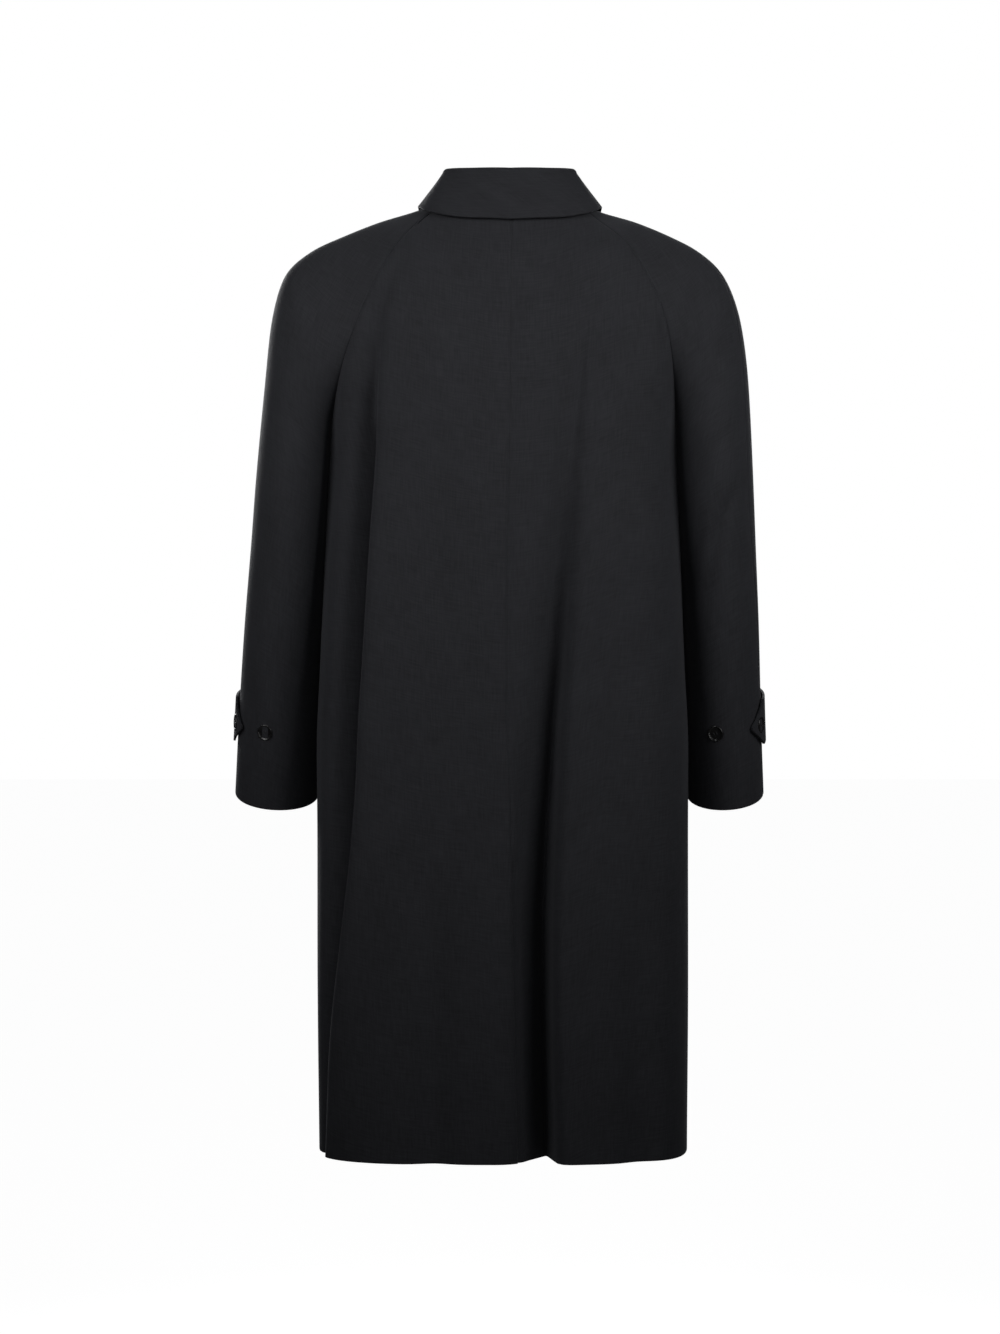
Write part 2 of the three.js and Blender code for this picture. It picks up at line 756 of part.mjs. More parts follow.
// Collar: it stands on the neckline, turns over at the fold line and falls to its edge.
// u runs from 0 at the centre back to 1 at the throat.
const COLLAR_FOLD = table("u outwards z", [
  [0, -0.5, 31],
  [0.2, -2, 33],
  [0.4, -6, 37],
  [0.5, -8.5, 38.5],
  [0.6, -8, 27],
  [0.8, -5, -9],
  [1, -1, -49],
]);
const COLLAR_EDGE = table("u x y z", [
  [0, 0, 78, -25],
  [0.2, 50, 71.5, -22.5],
  [0.35, 82, 55, -16],
  [0.44, 97, 30, -8],
  [0.52, 101.5, 5, -2.5],
  [0.6, 99, -25, -13],
  [0.7, 89, -57, -43],
  [0.85, 66, -89, -80],
  [1, 37, -108, -117],
]);
const NECK_SHIFT = 3.5; // the neck sits a little to the wearer's right
const COLLAR_FOLD_WIDE = 3.2; // half the width over the fold line
const COLLAR_END = 1.2; // from the centre line at the throat
const COLLAR_FOOT = { back: 0.6, throat: 1.2 }; // its foot over the neckline
const COLLAR_COLUMNS = 19; // to each side
const COLLAR_ROWS = 9;
const TURN_ROWS = { from: 2.5, to: 5.5 }; // the rows that pass over the fold line
const NECK_PARTS = { back: 0.4, front: 0.6 }; // where the back's neckline ends and the front's starts
const NECK_STEP = 0.02;

function neckline(side, u) {
  const { back, front } = NECK_PARTS;
  if (u > back && u < front) return sleeveSection(side, 0).point((2 * (u - back)) / (front - back));
  const face = u <= back ? "back" : "front";
  const section = bodySection(face, 0);
  const edge = section.knots[side].at(-1);
  if (face === "back") return section.point(mix(0, edge, u / back));
  return section.point(mix(edge, SIDES[side] * COLLAR_END, (u - front) / (1 - front)));
}

function collarPoint(side, u, v) {
  const sign = SIDES[side];
  const base = neckline(side, u);
  const run = neckline(side, Math.min(1, u + NECK_STEP)).sub(neckline(side, Math.max(0, u - NECK_STEP)));
  const outwards = vec(run.y, -run.x, 0).multiplyScalar(-sign).normalize();
  const fold = COLLAR_FOLD(u);
  const edge = COLLAR_EDGE(u);
  const footZ = base.z + mix(COLLAR_FOOT.back, COLLAR_FOOT.throat, u);
  const foot = along(base, outwards, -COLLAR_CLOTH).setZ(footZ);
  const top = along(base, outwards, fold.outwards).setZ(fold.z - COLLAR_FOLD_WIDE);
  const inside = along(top, outwards, -COLLAR_FOLD_WIDE);
  const outside = along(top, outwards, COLLAR_FOLD_WIDE);
  const rim = vec(sign * edge.x - NECK_SHIFT * (1 - smooth(2 * u - 1)), edge.y, edge.z);
  const { from, to } = TURN_ROWS;
  if (v <= from) return foot.lerp(inside, v / from);
  if (v >= to) return outside.lerp(rim, (v - to) / (COLLAR_ROWS - to));
  const turn = Math.PI * ((v - from) / (to - from));
  return along(top, outwards, -COLLAR_FOLD_WIDE * Math.cos(turn))
    .add(vec(0, 0, COLLAR_FOLD_WIDE * Math.sin(turn)));
}

function collar() {
  return wall({
    surface: (column, row) => {
      const u = Math.abs(column - COLLAR_COLUMNS) / COLLAR_COLUMNS;
      return collarPoint(column < COLLAR_COLUMNS ? "right" : "left", u, row);
    },
    columns: 2 * COLLAR_COLUMNS,
    rows: COLLAR_ROWS,
    thickness: COLLAR_CLOTH,
    turn: -1,
  });
}

// The outer surface of a sleeve with the direction that it faces.
function onSleeve(side, station, across) {
  const p = sleeveSection(side, station).point(across);
  const run = sleeveSection(side, station).point(across + STEP).sub(p);
  const down = sleeveSection(side, station + STEP).point(across).sub(p);
  return { p, outwards: down.cross(run).multiplyScalar(-SIDES[side]).normalize() };
}

// Cuff tab: from the underarm seam round the front and the outside, with a pointed end at the back.
const TAB = {
  left: { station: 1.775, tip: 0.79 },
  right: { station: 1.77, tip: 0.71 },
};
const TAB_HEIGHT = 50;
const TAB_HALF = TAB_HEIGHT / 2 / (ARMPIT - (CUFF_OUTER + CUFF_INNER) / 2); // half of that, in stations
const TAB_STAND = 4.2; // its outer face over the sleeve
const TAB_START = 1.82;
const TAB_POINT = 0.17; // length of the pointed end, in parts of a half sleeve
const TAB_TIP_HEIGHT = 0.06; // what is left of its height at the tip
const TAB_COLUMNS = 18;
const TAB_POINT_COLUMNS = 4;
const TAB_ROWS = 4;

function tabSurface(side) {
  const place = TAB[side];
  const straight = TAB_COLUMNS - TAB_POINT_COLUMNS;
  const shoulder = place.tip + TAB_POINT;
  return (column, row) => {
    const pointed = Math.max(0, (column - straight) / TAB_POINT_COLUMNS);
    const across = pointed
      ? mix(shoulder, place.tip, pointed)
      : mix(TAB_START, shoulder, column / straight);
    const half = TAB_HALF * mix(1, TAB_TIP_HEIGHT, pointed);
    const station = place.station + half * ((2 * row) / TAB_ROWS - 1);
    const { p, outwards } = onSleeve(side, station, across);
    return along(p, outwards, mix(TAB_CLOTH + SEAM_GAP, TAB_STAND, smooth(column / straight)));
  };
}

function tab(side) {
  return wall({
    surface: tabSurface(side),
    columns: TAB_COLUMNS,
    rows: TAB_ROWS,
    thickness: TAB_CLOTH,
    turn: SIDES[side],
  });
}

// A closed geometry as a solid that can be cut, and back.
function solidOf(geometry) {
  const bare = geometry.index ? geometry.toNonIndexed() : geometry.clone();
  bare.deleteAttribute("normal");
  bare.deleteAttribute("uv");
  const merged = mergeVertices(bare, 1e-4);
  return new wasm.Manifold(new wasm.Mesh({
    numProp: 3,
    vertProperties: merged.getAttribute("position").array,
    triVerts: new Uint32Array(merged.getIndex().array),
  }));
}

function geometryOf(solid) {
  const mesh = solid.getMesh();
  const geometry = new THREE.BufferGeometry();
  geometry.setAttribute("position", new THREE.Float32BufferAttribute(mesh.vertProperties, 3));
  geometry.setIndex(Array.from(mesh.triVerts));
  geometry.computeVertexNormals();
  return geometry;
}

// Button: a rimmed disc with a dish and four holes, turned to lie on the cloth under it.
const BUTTON_SIDES = 20;
const HOLE_SIDES = 6;
const BUTTON_PROFILE = rowsOf("out up", [ // in parts of the radius
  [0, 0],
  [0.72, 0],
  [1, 0.15],
  [0.95, 0.32],
  [0.87, 0.36],
  [0.78, 0.3],
  [0.6, 0.22],
  [0, 0.22],
]);
const HOLE_RADIUS = 0.11; // these too
const HOLE_OFFSET = 0.2;

function button(radius, at, outwards) {
  const profile = BUTTON_PROFILE.map(({ out, up }) => new THREE.Vector2(out * radius, up * radius));
  let disc = solidOf(new THREE.LatheGeometry(profile, BUTTON_SIDES));
  for (const [x, z] of [[1, 1], [1, -1], [-1, 1], [-1, -1]]) {
    const hole = new THREE.CylinderGeometry(HOLE_RADIUS * radius, HOLE_RADIUS * radius, radius, HOLE_SIDES);
    hole.translate(x * HOLE_OFFSET * radius, 0, z * HOLE_OFFSET * radius);
    disc = disc.subtract(solidOf(hole));
  }
  const geometry = geometryOf(disc);
  geometry.applyQuaternion(new THREE.Quaternion().setFromUnitVectors(vec(0, 1, 0), outwards));
  const seat = along(at, outwards, BUTTON_SEAT);
  return geometry.translate(seat.x, seat.y, seat.z);
}

// Columns and rows are those of the tab's grid and of the sleeve's back half.
const TAB_BUTTON = { column: 15.5, row: 2 };
const SLEEVE_BUTTON = { left: { column: 5.5, row: 17.5 }, right: { column: 4.5, row: 17.5 } };
const FRONT_BUTTONS = [-122, -272, -422, -572];

function tabButton(side) {
  const { at, outwards } = seatOn(tabSurface(side), TAB_BUTTON.column, TAB_BUTTON.row, SIDES[side]);
  return button(BUTTON_RADIUS, at, outwards);
}

function sleeveButton(side) {
  const { column, row } = SLEEVE_BUTTON[side];
  const { at, outwards } = seatOn(sleeveSurface(side, "back"), column, row, -SIDES[side]);
  return button(BUTTON_RADIUS, at, outwards);
}

// The station of the centre front that lies at a height, by halving.
const HALVINGS = 30;

function frontStation(z) {
  let [low, high] = [0, 2];
  for (let i = 0; i < HALVINGS; i += 1) {
    const middle = (low + high) / 2;
    if (CENTRE.front(middle).z > z) low = middle;
    else high = middle;
  }
  return low;
}

function frontButton(z) {
  const station = frontStation(z);
  const centre = (shift) => bodySection("front", station + shift).point(0);
  const at = centre(0);
  const down = centre(STEP).sub(centre(-STEP));
  const outwards = down.cross(vec(1, 0, 0)).normalize();
  return button(FRONT_BUTTON_RADIUS, at, outwards);
}

// The finished coat, as a group of named meshes

const coatCloth = new THREE.MeshStandardMaterial({
  name: "coat_cloth",
  color: 0x26272c,
  roughness: 0.92,
  metalness: 0,
});
const buttonHorn = new THREE.MeshStandardMaterial({
  name: "button_horn",
  color: 0x0c0c0d,
  roughness: 0.28,
  metalness: 0,
});

const coat = new THREE.Group();

function add(name, geometry, material = coatCloth) {
  const mesh = new THREE.Mesh(geometry, material);
  mesh.name = name;
  coat.add(mesh);
}

add("back_left", bodyPanel("left", "back", [1, 1, 3, 3, 3, 3, 4], NO_LAP));
add("back_right", bodyPanel("right", "back", [2, 3, 3, 4, 6], VENT_UNDER));
add("front_left", bodyPanel("left", "front", [1, 1, 2, 2, 2, 3, 3], OVER_LAP));
add("front_right", bodyPanel("right", "front", [1, 1, 2, 2, 2, 3, 3], UNDER_LAP));
for (const side of ["left", "right"]) {
  add(`sleeve_back_${side}`, sleevePanel(side, "back"));
  add(`sleeve_front_${side}`, sleevePanel(side, "front"));
}
add("collar", collar());
for (const side of ["left", "right"]) {
  add(`tab_${side}`, tab(side));
  add(`tab_button_${side}`, tabButton(side), buttonHorn);
  add(`sleeve_button_${side}`, sleeveButton(side), buttonHorn);
}
FRONT_BUTTONS.forEach((z, i) => add(`front_button_${i + 1}`, frontButton(z), buttonHorn));

export default coat;
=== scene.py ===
# %% [markdown]
# A knee-length raglan coat, seen from behind and filled out as it is in wear. The real coat is cut
# flat from one dark woollen cloth: two backs, two fronts, four half sleeves, a collar and two cuff tabs.
# Each of those is one piece here too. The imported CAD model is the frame: it fixes every place and size,
# and the pieces made here take the places of its plain solids.

# %% Load the frame
import json
import bpy
import bmesh
import numpy as np
from mathutils import Matrix, Vector

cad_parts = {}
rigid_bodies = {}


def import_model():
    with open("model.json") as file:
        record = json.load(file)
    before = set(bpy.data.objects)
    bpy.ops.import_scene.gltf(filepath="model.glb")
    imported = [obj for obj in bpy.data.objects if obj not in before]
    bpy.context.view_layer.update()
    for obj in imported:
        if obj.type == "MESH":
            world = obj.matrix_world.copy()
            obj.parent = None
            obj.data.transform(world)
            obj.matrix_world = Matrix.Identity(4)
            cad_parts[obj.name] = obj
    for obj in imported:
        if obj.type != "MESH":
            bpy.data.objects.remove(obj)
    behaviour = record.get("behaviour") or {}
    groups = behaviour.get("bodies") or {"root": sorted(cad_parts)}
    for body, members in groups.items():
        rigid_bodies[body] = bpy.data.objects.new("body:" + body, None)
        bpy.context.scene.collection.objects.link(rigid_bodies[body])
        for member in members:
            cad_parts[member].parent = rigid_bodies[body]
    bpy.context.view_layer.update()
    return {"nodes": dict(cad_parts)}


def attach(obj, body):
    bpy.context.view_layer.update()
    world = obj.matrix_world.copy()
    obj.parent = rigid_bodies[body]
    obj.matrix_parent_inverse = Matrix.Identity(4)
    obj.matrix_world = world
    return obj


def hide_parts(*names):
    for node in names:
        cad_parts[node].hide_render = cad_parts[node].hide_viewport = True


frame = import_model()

print("CAD nodes:", len(frame["nodes"]))

# %% [markdown]
# The coat's surface is worked out from sections: one line across the cloth for every height. The tables
# hold the few sizes that a pattern cutter would write down, in millimetres, and are read in between on
# smooth curves. X runs to the wearer's left, the back faces +Y and Z is up. A station says how far down
# a section lies: 0 at the neckline, 1 at the armpit, 2 at the hem or the cuff.

# %% Helpers for tables
# Thicknesses and gaps, then the heights of armpit, hem and cuffs, then the laps, all in millimetres.
CLOTH = 2.0
COLLAR_CLOTH = 2.4
TAB_CLOTH = 2.6
SEAM_GAP = 0.06
UNDERARM_GAP = 1.0
ARMPIT = -285
HEM = -1045
CUFF_OUTER = -654
CUFF_INNER = -660
CUFF_TILT = 0.3
FRONT_LAP = 28
VENT_LAP = 38
LAP_DROP = 3.4
VENT_TOP = -762
SIDES = {"left": 1, "right": -1}
FACES = {"back": 1, "front": -1}
STEP = 1e-3
MM = 0.001


def mix(a, b, t):
    return a + (b - a) * t


def smooth(t):
    s = np.clip(t, 0, 1)
    return s * s * (3 - 2 * s)


def unit(v):
    return v / np.linalg.norm(v, axis=-1, keepdims=True)


def level(station, end):
    return mix(ARMPIT, end, station - 1)


def table(columns, rows):
    """Reads a table between its rows, on curves that pass through each row and never swing past one."""
    names = columns.split()[1:]
    data = np.array(sorted(rows), float)
    keys, values = data[:, 0], data[:, 1:]
    rise = np.diff(values, axis=0) / np.diff(keys)[:, None]
    same = rise[:-1] * rise[1:] > 0
    middle = np.where(same, 2 * rise[:-1] * rise[1:] / np.where(same, rise[:-1] + rise[1:], 1), 0)
    slopes = np.vstack([rise[:1], middle, rise[-1:]])

    def read(at):
        key = np.clip(at, keys[0], keys[-1])
        i = np.clip(np.searchsorted(keys, key, side="right") - 1, 0, len(keys) - 2)
        step = keys[i + 1] - keys[i]
        t = ((key - keys[i]) / step)[..., None]
        found = (values[i] * (1 + 2 * t) * (1 - t) ** 2 + slopes[i] * step[..., None] * t * (1 - t) ** 2
                 + values[i + 1] * t * t * (3 - 2 * t) + slopes[i + 1] * step[..., None] * t * t * (t - 1))
        return {name: found[..., k] for k, name in enumerate(names)}

    return read


print("armpit and hem:", -ARMPIT, "and", -HEM, "mm below the neck")

# %% [markdown]
# One centre line runs down the middle of the back and another down the middle of the front. They could be
# drawn by hand as curves. Tables are used instead, because every section then follows from them, and one
# number moves the cloth in one place.

# %% The centre lines
CENTRE = {
    "back": table("station x y z", [
        [0, -4, 58, -8],
        [0.125, -4.5, 73, -34],
        [0.25, -4, 88, -72],
        [0.375, -3.5, 100, -113],
        [0.5, -3, 109, -154],
        [0.625, -3, 114.5, -190],
        [0.75, -2.5, 118.5, -224],
        [0.875, -2, 121, -256],
        [1, -1.5, 123, ARMPIT],
        [1.2, 1, 127, level(1.2, HEM)],
        [1.35, 1, 130.5, level(1.35, HEM)],
        [1.5, -3.5, 134.5, level(1.5, HEM)],
        [1.7, -6.5, 140.5, level(1.7, HEM)],
        [2, -11.5, 150, HEM],
    ]),
    "front": table("station x y z", [
        [0, 0, -72, -75],
        [0.125, 0, -84, -98],
        [0.25, 0, -97, -124],
        [0.375, 0, -108, -152],
        [0.5, 0, -118, -181],
        [0.625, 0, -126, -208],
        [0.75, 0, -131, -236],
        [0.875, 0, -134.5, -262],
        [1, 0, -136.5, ARMPIT],
        [1.35, 0, -140, level(1.35, HEM)],
        [1.6, 0, -145, level(1.6, HEM)],
        [2, 0, -152, HEM],
    ]),
}
print("the back leans out to", float(CENTRE["back"](np.array(2.0))["y"]), "mm at the hem")

# %% [markdown]
# A raglan seam slants from the neck to the armpit, and the side seam goes on from there to the hem. Between
# a centre line and a seam the cloth bulges, and the last table says how strongly it is pulled out at either
# end, as a share of the way between them.

# %% The raglan and side seams
FRONT_RAGLAN = [
    [0.125, 88, -56, -48],
    [0.25, 108, -76, -82],
    [0.375, 129, -90, -120],
    [0.5, 149, -95, -158],
    [0.625, 167, -86, -194],
    [0.75, 180, -66, -228],
]
RAGLAN = {
    ("back", "left"): table("station x y z", [
        [0, 69, 24, -1],
        [0.125, 96, 47, -24],
        [0.25, 123, 74, -58],
        [0.375, 147, 86, -102],
        [0.5, 166, 88, -148],
        [0.625, 179, 80, -185],
        [0.75, 188, 63, -222],
        [0.875, 194, 36, -255],
        [1, 197, 0, ARMPIT],
    ]),
    ("back", "right"): table("station x y z", [
        [0, 75, 24, -1],
        [0.125, 100, 47, -24],
        [0.25, 130, 73, -53],
        [0.375, 157, 84, -98],
        [0.5, 172, 85, -137],
        [0.625, 179, 78, -176],
        [0.75, 183, 62, -215],
        [0.875, 186, 36, -251],
        [1, 188, 0, ARMPIT],
    ]),
    ("front", "left"): table("station x y z", [
        [0, 67, -34, -20], *FRONT_RAGLAN, [0.875, 191, -37, -260], [1, 197, 0, ARMPIT]]),
    ("front", "right"): table("station x y z", [
        [0, 71, -34, -20], *FRONT_RAGLAN, [0.875, 185, -37, -260], [1, 188, 0, ARMPIT]]),
}
SIDE_SEAM = table("station left right", [
    [1, 197, 188],
    [1.15, 202.3, 192.6],
    [1.3, 207.3, 196.6],
    [1.42, 210.8, 200.6],
    [1.55, 210, 200.2],
    [1.75, 209.5, 200],
    [2, 207, 198],
])
BODY_PULL = table("station centre seam", [
    [0, 0.34, 0.34],
    [0.5, 0.42, 0.3],
    [0.75, 0.52, 0.3],
    [0.875, 0.56, 0.36],
    [1, 0.58, 0.43],
    [1.4, 0.64, 0.48],
    [2, 0.72, 0.54],
])
print("half widths at the hem:", {side: float(x) for side, x in SIDE_SEAM(np.array(2.0)).items()}, "mm")

# %% [markdown]
# A sleeve hangs from its overarm line, which runs from the neck over the shoulder to the cuff. Its underarm
# line starts at the armpit. The seam between its two halves lies near the overarm line, and its table says
# where across the sleeve: 0 is the back seam, 1 the overarm line and 2 the front seam.

# %% The sleeves' lines
OVERARM = {
    "left": table("station x y z", [
        [0, 75, 2, 2],
        [0.125, 103, 3, -8.5],
        [0.25, 140, 3, -20],
        [0.375, 180, 2, -35.5],
        [0.5, 218, 1, -53.5],
        [0.625, 246, 0, -80],
        [0.75, 261, -2, -131],
        [0.875, 269, -4, -205],
        [1, 277, -5, ARMPIT],
        [1.25, 284.5, -8, level(1.25, CUFF_OUTER)],
        [1.5, 293, -16, level(1.5, CUFF_OUTER)],
        [1.75, 300, -28, level(1.75, CUFF_OUTER)],
        [2, 306, -42, CUFF_OUTER],
    ]),
    "right": table("station x y z", [
        [0, 81, 2, 2],
        [0.125, 103, 3, -8.5],
        [0.25, 140, 3, -20],
        [0.375, 180, 2, -36],
        [0.5, 214, 1, -54.5],
        [0.625, 240, 0, -80.5],
        [0.75, 259, -2, -131],
        [0.875, 268.5, -4, -205],
        [1, 272.5, -5, ARMPIT],
        [1.25, 276.5, -8, level(1.25, CUFF_OUTER)],
        [1.5, 281, -16, level(1.5, CUFF_OUTER)],
        [1.75, 284.5, -28, level(1.75, CUFF_OUTER)],
        [2, 289, -42, CUFF_OUTER],
    ]),
}
UNDERARM = table("station left right y", [
    [1, 197, 188, 0],
    [1.15, 201, 191, -2],
    [1.45, 206, 197, -12],
    [1.75, 211, 201, -26],
    [2, 215, 205, -40],
])
SLEEVE_PULL = table("station seam overarm", [
    [0, 7, 8],
    [0.125, 14, 15],
    [0.25, 28, 28],
    [0.375, 40, 42],
    [0.5, 50, 58],
    [0.625, 50, 78],
    [0.75, 48, 98],
    [0.875, 74, 112],
    [1, 116, 118],
    [1.3, 102, 102],
    [1.6, 90, 90],
    [2, 76, 76],
])
OVERARM_SEAM = {
    "left": table("station across", [[0, 1], [0.5, 1.03], [1, 1.08], [2, 1.06]]),
    "right": table("station across", [
        [0, 1], [0.4, 0.94], [0.7, 0.79], [1.1, 0.78], [1.45, 0.86], [2, 0.92]]),
}
print("the right sleeve's seam lies at", float(OVERARM_SEAM["right"](np.array(2.0))["across"]), "at its cuff")

# %% [markdown]
# Two big folds hang down the back. A fold is written as a profile across the cloth: from a crest over a
# rounded ridge, down a steep wall into the valley and up a long flank. The table gives that profile at a
# few heights, as distances from the centre seam and depths into the coat. Lesser creases are soft troughs
# along a line each.

# %% The folds and creases
FOLDS = {
    ("back", "left"): table("z crest ridge rise valley depth flank", [
        [-60, 70, 92, 0, 100, 0, 108],
        [-120, 92, 126, 1, 138, 5, 152],
        [-175, 95, 135, 1.5, 146, 12, 172],
        [-230, 98, 141, 2, 150, 22, 180],
        [-330, 100, 149, 3, 156, 38, 188],
        [-436, 105, 154, 4, 161, 48, 196],
        [-594, 115, 164, 5, 171, 51, 205],
        [-700, 125, 175, 6, 181, 47, 212],
        [-808, 139, 191, 6, 197, 39, 222],
        [-927, 160, 211, 6, 218, 27, 240],
        [-1045, 174, 224, 4, 231, 15, 247],
    ]),
    ("back", "right"): table("z seam shoulder shoulder_depth valley depth ridge rise crest", [
        [-60, 0, 40, 0, 60, 0, 66, 0, 90],
        [-130, 0, 48, 0, 83, 0.5, 90, 0, 130],
        [-170, 0, 50, 0.5, 80, 3, 87, 0.5, 130],
        [-275, 0, 44, 1.5, 72, 11, 82, 1.5, 126],
        [-380, 0, 37, 3, 67, 22, 79, 2, 122],
        [-486, 0, 28, 5, 61, 34, 73, 3, 116],
        [-594, 0, 19, 8, 52, 44, 63, 4, 106],
        [-700, 0, 10, 14, 40, 52, 54, 5, 98],
        [-808, 3, 6, 19, 35, 60, 48, 6, 92],
        [-915, 6, 6, 24, 34, 68, 46, 5, 88],
        [-1045, 10, 8, 30, 34, 76, 46, 3, 84],
    ]),
    ("front", "left"): table("z crest ridge rise valley depth flank", [
        [-100, 60, 78, 0, 88, 0, 104],
        [-220, 74, 96, 1, 108, 5, 138],
        [-400, 84, 108, 2, 121, 13, 156],
        [-700, 92, 119, 3, 134, 22, 172],
        [-1045, 98, 128, 4, 145, 28, 186],
    ]),
    ("front", "right"): table("z crest ridge rise valley depth flank", [
        [-100, 60, 76, 0, 86, 0, 102],
        [-220, 82, 100, 1, 112, 4, 140],
        [-400, 96, 118, 2, 131, 11, 160],
        [-700, 108, 132, 3, 147, 19, 180],
        [-1045, 112, 142, 4, 159, 24, 196],
    ]),
}
CREASE_END = 0.3
# The face, then x, z and depth at either end, then the width.
CREASES = [
    ("back", -88, -70, 1.5, -108, -270, 3.5, 9),
    ("back", 84, -680, 2, 76, -1150, 14, 20),
    ("back", -136, -680, 2, -146, -1200, 15, 22),
    ("back", 238, -340, 2, 236, -620, 4, 16),
    ("back", -244, -305, 4, -212, -460, 4, 12),
    ("front", -238, -320, 3, -208, -450, 5, 12),
    ("front", 246, -310, 3, 220, -440, 5, 12),
    ("back", -122, -78, 1, -150, -165, 1.6, 5),
    ("back", -166, -120, 1.4, -169, -182, 1.8, 4),
    ("back", -198, -92, 1.4, -186, -156, 2, 4),
    ("back", -228, -120, 1.5, -194, -172, 2.4, 5),
    ("back", -262, -296, 1.8, -216, -402, 2.8, 6),
    ("back", -214, -330, 2, -201, -468, 1.8, 6),
    ("back", 261, -360, 1, 247, -534, 2.2, 6),
    ("back", 62, -380, 0.8, 50, -680, 1.4, 20),
    ("back", -118, -390, 0.8, -134, -640, 1.6, 18),
]


def crease_depth(face, p):
    total = np.zeros(p.shape[:-1])
    for where, x0, z0, depth0, x1, z1, depth1, width in CREASES:
        if where != face:
            continue
        dx, dz = x1 - x0, z1 - z0
        near = np.clip(((p[..., 0] - x0) * dx + (p[..., 2] - z0) * dz) / (dx * dx + dz * dz), 0, 1)
        away = np.hypot(p[..., 0] - x0 - near * dx, p[..., 2] - z0 - near * dz)
        ends = smooth(near / CREASE_END) * smooth((1 - near) / CREASE_END)
        total += ends * mix(depth0, depth1, near) * np.exp(-((away / width) ** 2))
    return total


print(len(FOLDS), "folds and", len(CREASES), "creases")

# %% [markdown]
# Every section is a Bezier curve with four control points. Across the raglan seam the body and the sleeve
# share one smooth surface at the shoulder. Towards the armpit both turn in until they lie face to face,
# which makes the deep valley between an arm and a body.

# %% Control points of the sections
# Body and sleeve share one surface up to here, and turn in to face each other from here on, by station.
ONE_SURFACE = 0.3
TURN_IN = 0.35


def seam_point(side, face, station):
    upper = RAGLAN[face, side](np.minimum(station, 1))
    below = station > 1
    x = np.where(below, SIDE_SEAM(station)[side], upper["x"])
    y = np.where(below, 0, upper["y"])
    z = np.where(below, level(station, HEM), upper["z"])
    return np.stack([SIDES[side] * x, y, z], axis=-1)


def row_point(row, sign=1):
    return np.stack([sign * row["x"], row["y"], row["z"]], axis=-1)


def crossing(side, face, station):
    """How sections cross the raglan seam: the gap's direction, and where body and sleeve head."""
    outward = np.array([SIDES[side], 0.0, 0.0])
    turn_in = np.array([0.0, -FACES[face], 0.0])
    upper = np.minimum(station, 1)
    low = np.clip(upper - STEP, 0, 1 - 2 * STEP)
    seam = seam_point(side, face, upper)
    run = unit(seam_point(side, face, low + 2 * STEP) - seam_point(side, face, low))
    body_chord = unit(seam - row_point(CENTRE[face](upper)))
    sleeve_chord = unit(row_point(OVERARM[side](upper), SIDES[side]) - seam)
    facing = unit(np.cross(run, body_chord) + np.cross(run, sleeve_chord))
    shared = unit(body_chord + sleeve_chord)
    apart = smooth(upper / ONE_SURFACE)[:, None]
    shut = smooth((upper - TURN_IN) / (1 - TURN_IN))[:, None]

    def in_surface(chord):
        d = mix(shared, chord, apart)
        return unit(d - facing * np.sum(d * facing, axis=-1, keepdims=True))

    body, sleeve = in_surface(body_chord), in_surface(sleeve_chord)
    return {
        "outward": unit(mix(body, outward, shut)),
        "body": unit(mix(body, turn_in, shut)),
        "sleeve": unit(mix(sleeve, -turn_in, shut)),
        "shut": shut,
    }


def body_control(side, face, station):
    centre = row_point(CENTRE[face](station))
    cross = crossing(side, face, station)
    gap = mix(SEAM_GAP, UNDERARM_GAP, cross["shut"]) / 2
    edge = seam_point(side, face, station) - gap * cross["outward"]
    edge[:, 1] += FACES[face] * cross["shut"][:, 0] * SEAM_GAP / 2
    chord = np.linalg.norm(edge - centre, axis=-1)
    pull = BODY_PULL(station)
    start = np.array([SIDES[side], 0.0, 0.0])
    return np.stack([
        centre,
        centre + start * (pull["centre"] * chord)[:, None],
        edge - cross["body"] * (pull["seam"] * chord)[:, None],
        edge,
    ], axis=1)


def sleeve_control(side, face, station):
    cross = crossing(side, face, station)
    under = UNDERARM(station)
    below = (station > 1)[:, None]
    tube = np.stack([SIDES[side] * under[side], under["y"], level(station, CUFF_INNER)], axis=-1)
    seam = np.where(below, tube, seam_point(side, face, np.minimum(station, 1)))
    edge = seam + mix(SEAM_GAP, UNDERARM_GAP, cross["shut"]) / 2 * cross["outward"]
    edge[:, 1] += FACES[face] * cross["shut"][:, 0] * SEAM_GAP / 2
    top = row_point(OVERARM[side](station), SIDES[side])
    pull = SLEEVE_PULL(station)
    tilt = CUFF_TILT * smooth(station - 1)
    turn_out = np.stack([0 * tilt, FACES[face] + 0 * tilt, -FACES[face] * tilt], axis=-1)
    return np.stack([
        edge,
        edge + np.where(below, turn_out, cross["sleeve"]) * pull["seam"][:, None],
        top + turn_out * pull["overarm"][:, None],
        top,
    ], axis=1)


print("a section has", body_control("left", "back", np.array([1.0])).shape[1], "control points")

# %% [markdown]
# A Bezier curve doesn't run at an even speed, so its points aren't evenly spaced. Each section is therefore
# measured once, and from then on it is read by length, as a tape measure laid along it would be. Where a
# fold lifts the cloth or lets it sink, the point moves along the direction that the surface faces.

# %% Reading half a section
SAMPLES = 48


def bezier(control, t):
    s = 1 - t
    weights = np.stack([s ** 3, 3 * s * s * t, 3 * s * t * t, t ** 3], axis=-1)
    return np.einsum("rck,rkd->rcd", weights, control)


